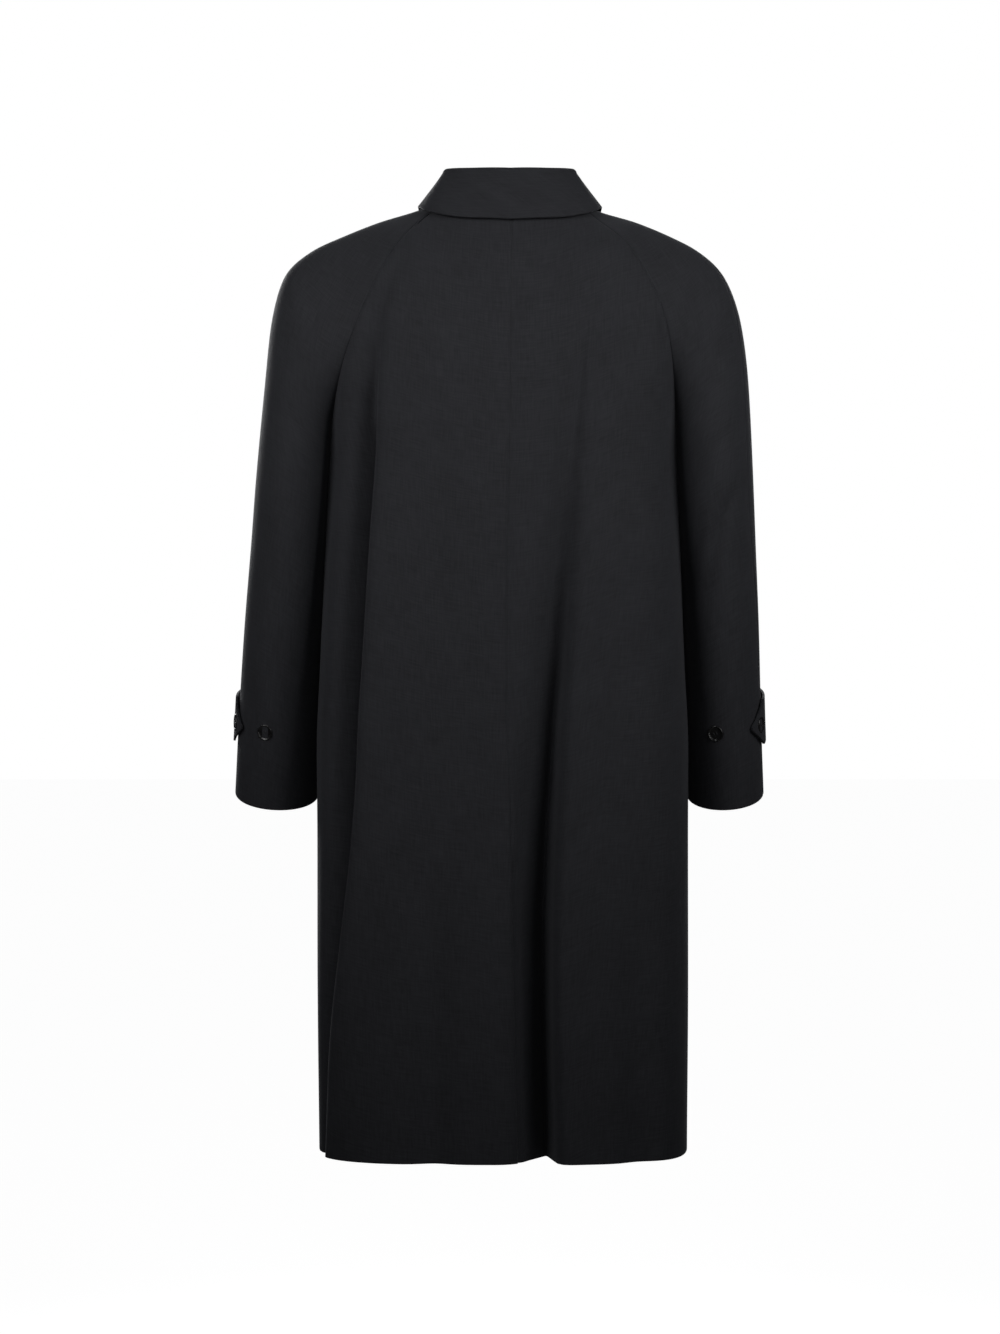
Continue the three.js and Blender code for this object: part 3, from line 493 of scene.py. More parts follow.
class HalfSections:
    """The sections of one half, read by length, with the direction that their surface faces."""

    def __init__(self, control, side, face, station):
        self.here = control(side, face, station)
        self.before = control(side, face, np.maximum(0, station - STEP))
        self.after = control(side, face, np.minimum(2, station + STEP))
        self.turn = -SIDES[side] * FACES[face]
        self.shares = np.linspace(0, 1, SAMPLES + 1)
        path = bezier(self.here, np.tile(self.shares, (len(station), 1)))
        steps = np.linalg.norm(np.diff(path, axis=1), axis=2)
        self.lengths = np.hstack([np.zeros((len(station), 1)), np.cumsum(steps, axis=1)])
        self.total = self.lengths[:, -1]

    def share(self, length):
        return np.stack([np.interp(row, known, self.shares) for row, known in zip(length, self.lengths)])

    def point(self, t, depth=0.0):
        across = bezier(self.here, t + STEP) - bezier(self.here, t - STEP)
        down = bezier(self.after, t) - bezier(self.before, t)
        facing = unit(np.cross(down, across)) * self.turn
        return bezier(self.here, t) - facing * (depth + 0 * t)[..., None]


armpit = HalfSections(body_control, "left", "back", np.array([1.0]))
print("half the back is", round(float(armpit.total[0])), "mm wide at the armpit")

# %% [markdown]
# A fold takes up cloth. Its profile is a chain of straight runs with rounded corners, and the points of the
# cloth are laid along that chain, so that no point is stretched over a ridge. Near the neck a section is
# short, and the limits below keep the knots of its folds apart and in their order.

# %% Laying the folds in
ROUNDING = 14
SEAM_FLAT = 16
DEEP_LIMITS = {"shoulder": 0.35, "valley": 0.6, "ridge": 0.68, "crest": 0.85}
SIDE_LIMITS = {"crest": 0.7, "ridge": 0.86, "valley": 0.91, "flank": 0.97}


def half_chain(side, face, z, edge):
    """Knots of one half of a section with its folds: distances from the centre line, and depths."""
    fold = {name: float(value) for name, value in FOLDS[face, side](np.array(z)).items()}
    deep = (face, side) == ("back", "right")
    limits = DEEP_LIMITS if deep else SIDE_LIMITS
    at = {name: min(fold[name], limit * edge) for name, limit in limits.items()}
    if deep:
        return [
            (0, fold["seam"]),
            (at["shoulder"], fold["shoulder_depth"]),
            (at["valley"], fold["depth"]),
            (at["ridge"], -fold["rise"]),
            (at["crest"], 0),
            (edge, 0),
        ]
    back = (face, side) == ("back", "left")
    start = float(FOLDS["back", "right"](np.array(z))["seam"]) if back else 0
    return [
        (0, start),
        (SEAM_FLAT, 0),
        (VENT_LAP if face == "back" else FRONT_LAP, 0),
        (at["crest"], 0),
        (at["ridge"], -fold["rise"]),
        (at["valley"], fold["depth"]),
        (at["flank"], 0),
        (edge, 0),
    ]


class Chain:
    """A chain of straight runs with rounded corners, read by length from the centre line."""

    def __init__(self, right, left):
        knots = [(-x, depth) for x, depth in right[:0:-1]] + left
        self.x, self.depth = np.array(knots, float).T
        self.lengths = np.concatenate([[0], np.cumsum(np.hypot(np.diff(self.x), np.diff(self.depth)))])
        self.zero = self.lengths[len(right) - 1]
        self.knots = {
            "left": self.lengths[len(right) - 1:] - self.zero,
            "right": self.lengths[len(right) - 1::-1] - self.zero,
        }

    def straight(self, at):
        return np.stack([np.interp(at, self.lengths, self.x), np.interp(at, self.lengths, self.depth)])

    def read(self, cloth):
        at = cloth + self.zero
        found = self.straight(at)
        for i in range(1, len(self.x) - 1):
            before, after = np.diff(self.lengths)[i - 1:i + 1]
            reach = min(ROUNDING, before / 2, after / 2)
            t = (at - self.lengths[i] + reach) / (2 * reach)
            inside = (t > 0) & (t < 1)
            a, b = self.straight(self.lengths[i] - reach), self.straight(self.lengths[i] + reach)
            corner = np.array([self.x[i], self.depth[i]])
            bend = ((1 - t) ** 2 * a[:, None] + 2 * t * (1 - t) * corner[:, None] + t * t * b[:, None])
            found = np.where(inside, bend, found)
        return found


print("knots of the deep fold:", len(half_chain("right", "back", ARMPIT, float(armpit.total[0]))))

# %% [markdown]
# The two halves of a section belong together: the cloth of the back goes round from one side seam to the
# other, and that of a sleeve from its back seam over the arm to its front seam. These two classes read them
# as a whole.

# %% Whole sections
class BodySections:
    """Whole sections of the back or the front, measured from the centre line, to the left as positive."""

    def __init__(self, face, station):
        self.left = HalfSections(body_control, "left", face, station)
        self.right = HalfSections(body_control, "right", face, station)
        self.z = CENTRE[face](station)["z"]
        self.chains = [
            Chain(half_chain("right", face, z, right), half_chain("left", face, z, left))
            for z, left, right in zip(self.z, self.left.total, self.right.total)
        ]

    def knots(self, side):
        return np.stack([chain.knots[side] for chain in self.chains])

    def point(self, cloth):
        read = np.stack([chain.read(row) for chain, row in zip(self.chains, cloth)])
        x, depth = read[:, 0], read[:, 1]
        on_left = self.left.point(self.left.share(np.maximum(x, 0)), depth)
        on_right = self.right.point(self.right.share(np.maximum(-x, 0)), depth)
        return np.where((x >= 0)[..., None], on_left, on_right)


class SleeveSections:
    """Whole sections of a sleeve: 0 at the back seam, 1 on the overarm line and 2 at the front seam."""

    def __init__(self, side, station):
        self.back = HalfSections(sleeve_control, side, "back", station)
        self.front = HalfSections(sleeve_control, side, "front", station)

    def point(self, across):
        on_back = self.back.point(np.clip(across, 0, 1))
        on_front = self.front.point(np.clip(2 - across, 0, 1))
        return np.where((across <= 1)[..., None], on_back, on_front)


hem_back = BodySections("back", np.array([2.0]))
print("the back's hem takes", round(float(np.ptp(hem_back.chains[0].lengths))), "mm of cloth")

# %% [markdown]
# A material in Blender is a net of nodes. A small class writes such a net like plain arithmetic: it holds
# the value that comes out of a node, and every sum or product with it adds the next node.

# %% Writing a material as arithmetic
class Value:
    """What comes out of a node. Sums and products with it become Math nodes."""

    def __init__(self, tree, socket):
        self.tree, self.socket = tree, socket

    def maths(self, operation, a, b):
        return self.node("ShaderNodeMath", {"operation": operation}, {0: a, 1: b})

    def __add__(self, other):
        return self.maths("ADD", self, other)

    def __mul__(self, other):
        return self.maths("MULTIPLY", self, other)

    def __sub__(self, other):
        return self.maths("SUBTRACT", self, other)

    def __rsub__(self, other):
        return self.maths("SUBTRACT", other, self)

    __radd__ = __add__
    __rmul__ = __mul__

    def node(self, kind, settings, sockets, output=0):
        """Adds a node, sets it up, fills or links its sockets and returns one of its outputs."""
        new = self.tree.nodes.new(kind)
        for name, value in settings.items():
            setattr(new, name, value)
        for name, value in sockets.items():
            if isinstance(value, Value):
                self.tree.links.new(value.socket, new.inputs[name])
            else:
                new.inputs[name].default_value = value
        return Value(self.tree, new.outputs[output])

    def times(self, vector):
        return self.node("ShaderNodeVectorMath", {"operation": "MULTIPLY"}, {0: self, 1: vector})

    def noise(self, scale, detail=2.0, roughness=0.5):
        sockets = {"Vector": self, "Scale": scale, "Detail": detail, "Roughness": roughness}
        return self.node("ShaderNodeTexNoise", {"noise_dimensions": "3D"}, sockets)

    def blend(self, dark, light):
        """A colour from dark to light by this value."""
        sockets = {0: self, 6: (*dark, 1), 7: (*light, 1)}
        return self.node("ShaderNodeMix", {"data_type": "RGBA"}, sockets, output=2)


def new_material(name, **plain):
    """A material whose shader has these plain values, with its surface and a start for its nodes."""
    material = bpy.data.materials.new(name)
    material.use_nodes = True
    tree = material.node_tree
    shader = tree.nodes["Principled BSDF"]
    for socket, value in plain.items():
        shader.inputs[socket.replace("_", " ")].default_value = value
    return material, shader, Value(tree, None)


def plug(value, shader, socket):
    """Links a value to a socket of the shader, where a look changes over the surface."""
    value.tree.links.new(value.socket, shader.inputs[socket])


# %% [markdown]
# The cloth is a smooth, closely milled woollen coating, almost black, with a little blue in it. Its threads
# are too fine to be seen one by one from here. What shows is that some of them are a little lighter or
# thicker, which draws faint short streaks along and across the piece. Long thin noise on the UV map gives
# both, and a low bump gives the face of the cloth its grain. The fuzz on wool catches light at grazing
# angles, which is what the shader's sheen is for.

# %% The cloth's material
# How often each pattern changes in a metre of cloth, across and down the piece.
WARP, WEFT = (650, 45, 1), (45, 650, 1)
FINE_WARP, FINE_WEFT = (2600, 400, 1), (400, 2600, 1)
SHADING, RIPPLES = (24, 18, 1), (22, 9, 1)
WOOL_DARK, WOOL_LIGHT = (0.0108, 0.0108, 0.0128), (0.0302, 0.0312, 0.0362)
STREAKS, CLOUDING, DARKENING = 0.7, 0.4, 0.4
THREAD_HEIGHT, RIPPLE_HEIGHT = 0.08, 0.9

wool, wool_shader, start = new_material("wool", Roughness=0.86, Sheen_Weight=0.12, Sheen_Roughness=0.45)
wool_shader.inputs["Sheen Tint"].default_value = (0.55, 0.57, 0.62, 1)
wool_shader.inputs["Specular IOR Level"].default_value = 0.25
cloth_uv = start.node("ShaderNodeUVMap", {"uv_map": "cloth"}, {})
warp = cloth_uv.times(WARP).noise(1.0)
weft = cloth_uv.times(WEFT).noise(1.0)
shade = cloth_uv.times(SHADING).noise(1.0, detail=4.0)
fibres = warp * STREAKS + weft * STREAKS + shade * CLOUDING - DARKENING
plug(fibres.blend(WOOL_DARK, WOOL_LIGHT), wool_shader, "Base Color")
fine_warp = cloth_uv.times(FINE_WARP).noise(1.0, detail=1.0)
fine_weft = cloth_uv.times(FINE_WEFT).noise(1.0, detail=1.0)
ripples = cloth_uv.times(RIPPLES).noise(1.0, detail=1.0)
grain = (fine_warp + fine_weft) * THREAD_HEIGHT + ripples * RIPPLE_HEIGHT
bump = start.node("ShaderNodeBump", {}, {"Strength": 1.0, "Distance": 1 * MM, "Height": grain})
plug(bump, wool_shader, "Normal")
print("cloth material:", len(wool.node_tree.nodes), "nodes")

# %% [markdown]
# A panel of the coat is a sheet of cloth. It could be a flat sheet that a cloth simulation drapes over a
# body, but then its outline would follow the simulation and not the photograph. Here a panel is a grid of
# points on those sections, about 4 mm apart. The UV map holds lengths along the cloth in metres, so that a
# woven pattern follows the cloth through every fold. Every piece has its own part of the pattern.

# %% A grid becomes a mesh
UV_APART = 3


def cloth_lengths(points):
    """Lengths along the cloth, across and down, for every point of a grid."""
    across = np.cumsum(np.linalg.norm(np.diff(points, axis=1), axis=2), axis=1)
    down = np.cumsum(np.linalg.norm(np.diff(points, axis=0), axis=2), axis=0)
    across = np.hstack([np.zeros((len(points), 1)), across])
    down = np.vstack([np.zeros((1, points.shape[1])), down])
    return across, down


def grid_piece(name, points, lengths, turn, keep):
    """A piece of four-sided faces on a grid of points. Cells that keep leaves out stay empty."""
    index = np.arange(points[..., 0].size).reshape(points.shape[:2])
    quads = np.stack([index[:-1, :-1], index[1:, :-1], index[1:, 1:], index[:-1, 1:]], axis=-1)
    quads = quads[keep] if keep is not None else quads.reshape(-1, 4)
    if turn > 0:
        quads = quads[:, ::-1]
    mesh = bpy.data.meshes.new(name)
    mesh.from_pydata((points.reshape(-1, 3) * MM).tolist(), [], quads.tolist())
    uv = mesh.uv_layers.new(name="cloth")
    corners = np.array([loop.vertex_index for loop in mesh.loops])
    uv.data.foreach_set("uv", lengths.reshape(-1, 2)[corners].reshape(-1))
    piece = bpy.data.objects.new(name, mesh)
    bpy.context.collection.objects.link(piece)
    clean = bmesh.new()
    clean.from_mesh(mesh)
    bmesh.ops.delete(clean, geom=[v for v in clean.verts if not v.link_faces], context="VERTS")
    clean.to_mesh(mesh)
    clean.free()
    return piece


print("cloth patterns start", UV_APART, "m apart")

# %% [markdown]
# Blender's Solidify modifier gives the cloth its thickness, on the inner side only, so that the outer face
# stays where the CAD model has it. A small Bevel rounds the cut edges, which a tailor turns under and
# presses. Both are applied.

# %% One piece of cloth
PRESSED_EDGE = 0.7 * MM
SHARP = np.radians(50)
coat = []


def deselect():
    if bpy.context.mode != "OBJECT":
        bpy.ops.object.mode_set(mode="OBJECT")
    bpy.ops.object.select_all(action="DESELECT")


def apply_modifiers(piece):
    deselect()
    piece.select_set(True)
    bpy.context.view_layer.objects.active = piece
    for modifier in list(piece.modifiers):
        bpy.ops.object.modifier_apply(modifier=modifier.name)


def add_wall(piece, thickness):
    """Gives a piece its wall and its rounded edges."""
    wall = piece.modifiers.new("cloth", "SOLIDIFY")
    wall.thickness = thickness * MM
    wall.offset = -1
    edge = piece.modifiers.new("pressed edge", "BEVEL")
    edge.width = PRESSED_EDGE
    edge.segments = 2
    edge.limit_method = "ANGLE"
    edge.angle_limit = SHARP
    apply_modifiers(piece)
    bpy.ops.object.shade_smooth_by_angle(angle=SHARP)


def cloth_piece(name, points, thickness, turn, keep=None):
    across, down = cloth_lengths(points)
    lengths = np.stack([across, down], axis=-1) * MM + UV_APART * len(coat)
    piece = grid_piece(name, points, lengths, turn, keep)
    add_wall(piece, thickness)
    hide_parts(name)
    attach(piece, "root")
    piece.data.materials.append(wool)
    coat.append(piece)


print("pressed edges:", PRESSED_EDGE / MM, "mm")

# %% [markdown]
# A sewn seam shows as a shallow groove, because the thread pulls the cloth in. It is worked into the grid
# itself: the columns lie closer together there, and each point sinks by its distance from the seam. The
# lesser creases are pressed in the same way, along the direction that the cloth faces.

# %% Seams, creases and spacing
GRID = 4.0
SEAM_DEPTH = 1.1
SEAM_WIDTH = 1.3
SEAM_COLUMNS = np.array([0.5, 1.2, 2.2, 3.6])
SETTLE_REACH = 0.09
SETTLE_ROUNDS = 50


def groove(distance):
    """How deep a sewn edge is drawn in, by its distance from the seam."""
    return SEAM_DEPTH * np.exp(-((distance / SEAM_WIDTH) ** 2))


def rows_between(top, bottom, height):
    """Stations from one level to another, about a grid step apart."""
    return np.linspace(top, bottom, max(2, round(height / GRID)) + 1)


def normals_of(points, turn):
    down, across = np.gradient(points, axis=0), np.gradient(points, axis=1)
    return unit(np.cross(down, across)) * turn


def settle(points, station):
    """Evens out the bend at the armpit, where the sections change from slanting to level."""
    share = 0.5 * np.exp(-(((station - 1) / SETTLE_REACH) ** 2))[1:-1, None, None]
    for _ in range(SETTLE_ROUNDS):
        points[1:-1] += share * (points[:-2] + points[2:] - 2 * points[1:-1])
    return points


def press(points, face, turn, sunk=0.0):
    """Presses the creases into a panel, and sinks the part of it that lies under another one."""
    depth = crease_depth(face, points) + sunk
    return points - normals_of(points, turn) * depth[..., None]


def spread(knots, cells):
    """Positions between the knots of every section, with so many cells between neighbours."""
    parts = [mix(knots[:, i:i + 1], knots[:, i + 1:i + 2], np.arange(n) / n) for i, n in enumerate(cells)]
    return np.hstack(parts + [knots[:, len(cells):len(cells) + 1]])


print("a seam sinks", SEAM_DEPTH, "mm, and", round(float(groove(SEAM_WIDTH)), 2), "mm one width away")

# %% [markdown]
# The body has four panels. The left back laps over the right one at the vent and the left front over the
# right one at the buttons, so the right panels run on past the centre line and sink under the left ones.

# %% The body panels
ABOVE_ARMPIT, BELOW_ARMPIT = 320, 760
BODY_STATIONS = np.concatenate([rows_between(0, 1, ABOVE_ARMPIT)[:-1], rows_between(1, 2, BELOW_ARMPIT)])
VENT_CELLS = {"lap": [7, 6], "left": [7, 5, 16, 14, 6, 8, 6], "right": [4, 10, 7, 12, 26]}
FRONT_CELLS = {"lap": [4, 5], "left": [5, 4, 12, 8, 5, 10, 12], "right": [5, 4, 12, 8, 5, 10, 12]}
UNDER_SHIFT = 0.25
FRONT_SLOPE = {"from": 24, "wide": 14}
VENT_SLOPE = {"from": 14, "wide": 12}
VENT_BLEND = {"from": 60, "tall": 54}


def body_panel(side, face, cells, lap_cells, sink=None, lap_from=None):
    sign = SIDES[side]
    turn = -sign * FACES[face]
    sections = BodySections(face, BODY_STATIONS)
    knots = sections.knots(side).copy()
    sunk = sink(0 * sections.z, sections.z) if sink else 0 * sections.z
    knots[:, 0] = sign * (SEAM_GAP / 2 + UNDER_SHIFT * sunk)
    centre, seam = knots[:, :1], knots[:, -1:]
    inner, outer = centre + sign * SEAM_COLUMNS, seam - sign * SEAM_COLUMNS[::-1]
    own = spread(np.hstack([inner[:, -1:], knots[:, 1:-1], outer[:, :1]]), cells)
    cloth = np.hstack([centre, inner[:, :-1], own, outer[:, 1:], seam])
    sewn_centre = 0.0
    if lap_cells:
        other = sections.knots("right" if side == "left" else "left")
        lap = spread(np.stack([other[:, 2], other[:, 1], knots[:, 0]], axis=1), lap_cells)
        cloth = np.hstack([lap[:, :-1], cloth])
    if face == "back":
        sewn_centre = groove(cloth - centre)
    points = settle(sections.point(cloth), BODY_STATIONS)
    sunk_all = sink(sign * cloth, sections.z[:, None]) if sink else 0.0
    points = press(points, face, turn, sunk_all + sewn_centre + groove(cloth - seam))
    keep = None
    if lap_from is not None:
        keep = np.ones((points.shape[0] - 1, points.shape[1] - 1), bool)
        keep[sections.z[:-1] > lap_from, :sum(lap_cells)] = False
    cloth_piece(f"{face}_{side}", points, CLOTH, turn, keep)


def front_sink(outwards, z):
    """How deep the right front lies under the left one."""
    return LAP_DROP * smooth((FRONT_LAP + FRONT_SLOPE["from"] - outwards) / FRONT_SLOPE["wide"]) + 0 * z


def vent_sink(outwards, z):
    """How deep the right back lies under the left one, which it does only at the vent."""
    under = smooth((VENT_SLOPE["from"] - outwards) / VENT_SLOPE["wide"])
    return LAP_DROP * under * smooth((VENT_TOP + VENT_BLEND["from"] - z) / VENT_BLEND["tall"])


body_panel("left", "back", VENT_CELLS["left"], None)
body_panel("right", "back", VENT_CELLS["right"], VENT_CELLS["lap"], vent_sink, VENT_TOP)
body_panel("left", "front", FRONT_CELLS["left"], FRONT_CELLS["lap"])
body_panel("right", "front", FRONT_CELLS["right"], FRONT_CELLS["lap"], front_sink)

# %% [markdown]
# A raglan sleeve has two halves, which meet in a seam that runs from the neck over the shoulder and down
# the outside of the arm. On the right sleeve that seam shows from behind.

# %% The sleeves
SLEEVE_BELOW_ARMPIT = 375
SLEEVE_STATIONS = np.concatenate([
    rows_between(0, 1, ABOVE_ARMPIT)[:-1], rows_between(1, 2, SLEEVE_BELOW_ARMPIT)])
SLEEVE_CELLS = 46
NEARBY = 0.01


def share_per_mm(sections, across, way):
    """How much of the measure across one millimetre of cloth is, from a place towards one side."""
    run = sections.point(across + way * NEARBY) - sections.point(across)
    return NEARBY / np.linalg.norm(run, axis=-1)


def sleeve_panel(side, face):
    sections = SleeveSections(side, SLEEVE_STATIONS)
    seam = OVERARM_SEAM[side](SLEEVE_STATIONS)["across"][:, None]
    start = seam * 0 + (0.0 if face == "back" else 2.0)
    inwards = FACES[face]
    per_mm, under_mm = share_per_mm(sections, seam, 1), share_per_mm(sections, start, inwards)
    end = seam - inwards * SEAM_GAP / 2 * per_mm
    first, last = start + inwards * SEAM_COLUMNS * under_mm, end - inwards * SEAM_COLUMNS[::-1] * per_mm
    own = mix(first[:, -1:], last[:, :1], np.arange(SLEEVE_CELLS + 1) / SLEEVE_CELLS)
    across = np.hstack([start, first[:, :-1], own, last[:, 1:], end])
    sewn = groove((across - start) / under_mm) + groove((across - end) / per_mm)
    if face == "front":
        across, sewn = across[:, ::-1], sewn[:, ::-1]
    turn = -SIDES[side]
    points = press(settle(sections.point(across), SLEEVE_STATIONS), face, turn, sewn)
    cloth_piece(f"sleeve_{face}_{side}", points, CLOTH, turn)


for side in SIDES:
    for face in FACES:
        sleeve_panel(side, face)

# %% [markdown]
# The collar is one sheet. It stands on the neckline, turns over at the fold line and falls to its outer
# edge, so its outer side is the neck side of the stand as well. The grid runs along the neck and up over
# the fold.

# %% The collar
COLLAR_FOLD = table("u outwards z", [
    [0, -0.5, 31],
    [0.2, -2, 33],
    [0.4, -6, 37],
    [0.5, -8.5, 38.5],
    [0.6, -8, 27],
    [0.8, -5, -9],
    [1, -1, -49],
])
COLLAR_EDGE = table("u x y z", [
    [0, 0, 78, -25],
    [0.2, 50, 71.5, -22.5],
    [0.35, 82, 55, -16],
    [0.44, 97, 30, -8],
    [0.52, 101.5, 5, -2.5],
    [0.6, 99, -25, -13],
    [0.7, 89, -57, -43],
    [0.85, 66, -89, -80],
    [1, 37, -108, -117],
])
NECK_SHIFT = 3.5
COLLAR_FOLD_WIDE = 3.2
COLLAR_END = 1.2
COLLAR_EASE = 0.9
EASE_REACH = 6
COLLAR_CELLS = 110
STAND_CELLS, TURN_CELLS, FALL_CELLS = 9, 8, 16
# Along the neck, 0 is the centre back and 1 the throat. The back ends and the front begins here.
BACK_ENDS, FRONT_BEGINS = 0.4, 0.6
RUN_STEP = 0.02
FOOT_LIFT = (0.6, 1.2)


def neckline(side, u):
    """Points on the neck edge of the back, the sleeve and the front."""
    start = np.array([0.0])
    back, front = BodySections("back", start), BodySections("front", start)
    sleeve = SleeveSections(side, start)
    back_edge, front_edge = back.knots(side)[0, -1], front.knots(side)[0, -1]
    back_share = np.clip(u / BACK_ENDS, 0, 1)
    front_share = np.clip((u - FRONT_BEGINS) / (1 - FRONT_BEGINS), 0, 1)
    sleeve_share = np.clip((u - BACK_ENDS) / (FRONT_BEGINS - BACK_ENDS), 0, 1)
    on_back = back.point(mix(0, back_edge, back_share)[None])[0]
    on_front = front.point(mix(front_edge, SIDES[side] * COLLAR_END, front_share)[None])[0]
    on_sleeve = sleeve.point(2 * sleeve_share[None])[0]
    after_back = np.where((u >= FRONT_BEGINS)[:, None], on_front, on_sleeve)
    return np.where((u <= BACK_ENDS)[:, None], on_back, after_back)


def collar_half(side):
    """Points of half the collar, from the throat to the centre back, in rows from the stand's foot."""
    u = np.linspace(1, 0, COLLAR_CELLS + 1)
    base = neckline(side, u)
    run = neckline(side, np.minimum(1, u + RUN_STEP)) - neckline(side, np.maximum(0, u - RUN_STEP))
    outwards = unit(np.stack([run[:, 1], -run[:, 0], 0 * u], axis=-1)) * -SIDES[side]
    fold, edge = COLLAR_FOLD(u), COLLAR_EDGE(u)
    up = np.array([0.0, 0.0, 1.0])
    foot = base - outwards * COLLAR_CLOTH
    foot[:, 2] = base[:, 2] + mix(*FOOT_LIFT, u)
    top = base + outwards * fold["outwards"][:, None]
    top[:, 2] = fold["z"] - COLLAR_FOLD_WIDE
    x = SIDES[side] * edge["x"] - NECK_SHIFT * (1 - smooth(2 * u - 1))
    rim = np.stack([x, edge["y"], edge["z"]], axis=-1)
    inside, outside = top - outwards * COLLAR_FOLD_WIDE, top + outwards * COLLAR_FOLD_WIDE
    rows = [mix(foot, inside, t) for t in np.arange(STAND_CELLS) / STAND_CELLS]
    for turn in np.pi * np.arange(TURN_CELLS) / TURN_CELLS:
        rows.append(top - COLLAR_FOLD_WIDE * (outwards * np.cos(turn) - up * np.sin(turn)))
    rows += [mix(outside, rim, t) for t in np.arange(FALL_CELLS + 1) / FALL_CELLS]
    return np.stack(rows)


def lay_down(half):
    """Lets the collar's fall down until its edge lies on the coat."""
    share = (np.arange(FALL_CELLS + 1) / FALL_CELLS)[:, None, None]
    drop = np.array([way_down(place) for place in half[-1]])
    near = np.clip(np.arange(len(drop))[:, None] + np.arange(-EASE_REACH, EASE_REACH + 1), 0, len(drop) - 1)
    half[-FALL_CELLS - 1:] += share ** 1.5 * drop[near].mean(axis=1)
    return half


def way_down(place):
    """The way from a point of the collar's edge to where it rests on the nearest cloth, in millimetres."""
    start = Vector(place * MM)
    nearest = [piece.closest_point_on_mesh(start)[1] - start for piece in coat]
    way = min(nearest, key=lambda vector: vector.length)
    room = way.length / MM - COLLAR_CLOTH - COLLAR_EASE
    return np.array(way.normalized()) * max(room, 0)


right_half, left_half = lay_down(collar_half("right")), lay_down(collar_half("left"))
collar_points = np.concatenate([right_half, left_half[:, -2::-1]], axis=1)
cloth_piece("collar", collar_points, COLLAR_CLOTH, -1)

# %% [markdown]
# A tab is sewn into the underarm seam and lies round the front and outside of the cuff. It follows the
# sleeve, a few millimetres off it, and narrows to a point behind.

# %% The cuff tabs
TAB = {"left": {"station": 1.775, "tip": 0.79}, "right": {"station": 1.77, "tip": 0.71}}
TAB_HALF_WIDE = 25
TAB_HALF = TAB_HALF_WIDE / (ARMPIT - (CUFF_OUTER + CUFF_INNER) / 2)
TAB_STAND = 4.2
TAB_START = 1.82
TAB_POINT = 0.17
TAB_BLUNT = 0.06
TAB_CELLS = 60
TAB_POINT_CELLS = 14
TAB_ROWS = 14


def tab_points(side):
    place = TAB[side]
    straight = TAB_CELLS - TAB_POINT_CELLS
    column = np.arange(TAB_CELLS + 1)
    pointed = np.clip((column - straight) / TAB_POINT_CELLS, 0, 1)
    shoulder = place["tip"] + TAB_POINT
    along, to_tip = mix(TAB_START, shoulder, column / straight), mix(shoulder, place["tip"], pointed)
    across = np.where(pointed > 0, to_tip, along)
    stand = mix(TAB_CLOTH + SEAM_GAP, TAB_STAND, smooth(column / straight))
    rows = []
    for height in np.linspace(-1, 1, TAB_ROWS + 1):
        station = place["station"] + TAB_HALF * mix(1, TAB_BLUNT, pointed) * height
        sleeve, lower = SleeveSections(side, station), SleeveSections(side, station + STEP)
        p = sleeve.point(across[:, None])[:, 0]
        run = sleeve.point(across[:, None] + STEP)[:, 0] - p
        down = lower.point(across[:, None])[:, 0] - p
        rows.append(p + unit(np.cross(down, run)) * -SIDES[side] * stand[:, None])
    return np.stack(rows)


for side in SIDES:
    cloth_piece(f"tab_{side}", tab_points(side), TAB_CLOTH, SIDES[side])

# %% [markdown]
# The buttons are of polished black horn: a disc with a round rim, a shallow dish and four holes. One is
# modelled for each of the two sizes and copied. A cylinder gives the disc; its upper face is inset and
# pushed down for the dish, its rims are rounded, and four thin cylinders are cut out for the holes.

# %% Modelling a button
# Sizes as shares of the button's radius.
BUTTON_TALL = 0.36
RIM_WIDE, RIM_ROUND = 0.16, 0.09
DISH_SLOPE, DISH_DEEP = 0.1, 0.1
FOOT_RING = 0.2
HOLE_RADIUS, HOLE_OFFSET = 0.1, 0.2
CUTTER_LONG = 4
LEVEL = 0.9


def select_facing(disc, up):
    """Selects the faces that look up (1) or down (-1), and nothing else."""
    bpy.ops.mesh.select_all(action="DESELECT")
    for face in bmesh.from_edit_mesh(disc.data).faces:
        face.select_set(face.normal.z * up > LEVEL)


def cut_hole(disc, x, y, radius, depth):
    bpy.ops.mesh.primitive_cylinder_add(vertices=20, radius=radius, depth=depth, location=(x, y, 0))
    cutter = bpy.context.object
    cut = disc.modifiers.new("hole", "BOOLEAN")
    cut.operation = "DIFFERENCE"
    cut.solver = "EXACT"
    cut.object = cutter
    apply_modifiers(disc)
    bpy.data.objects.remove(cutter)


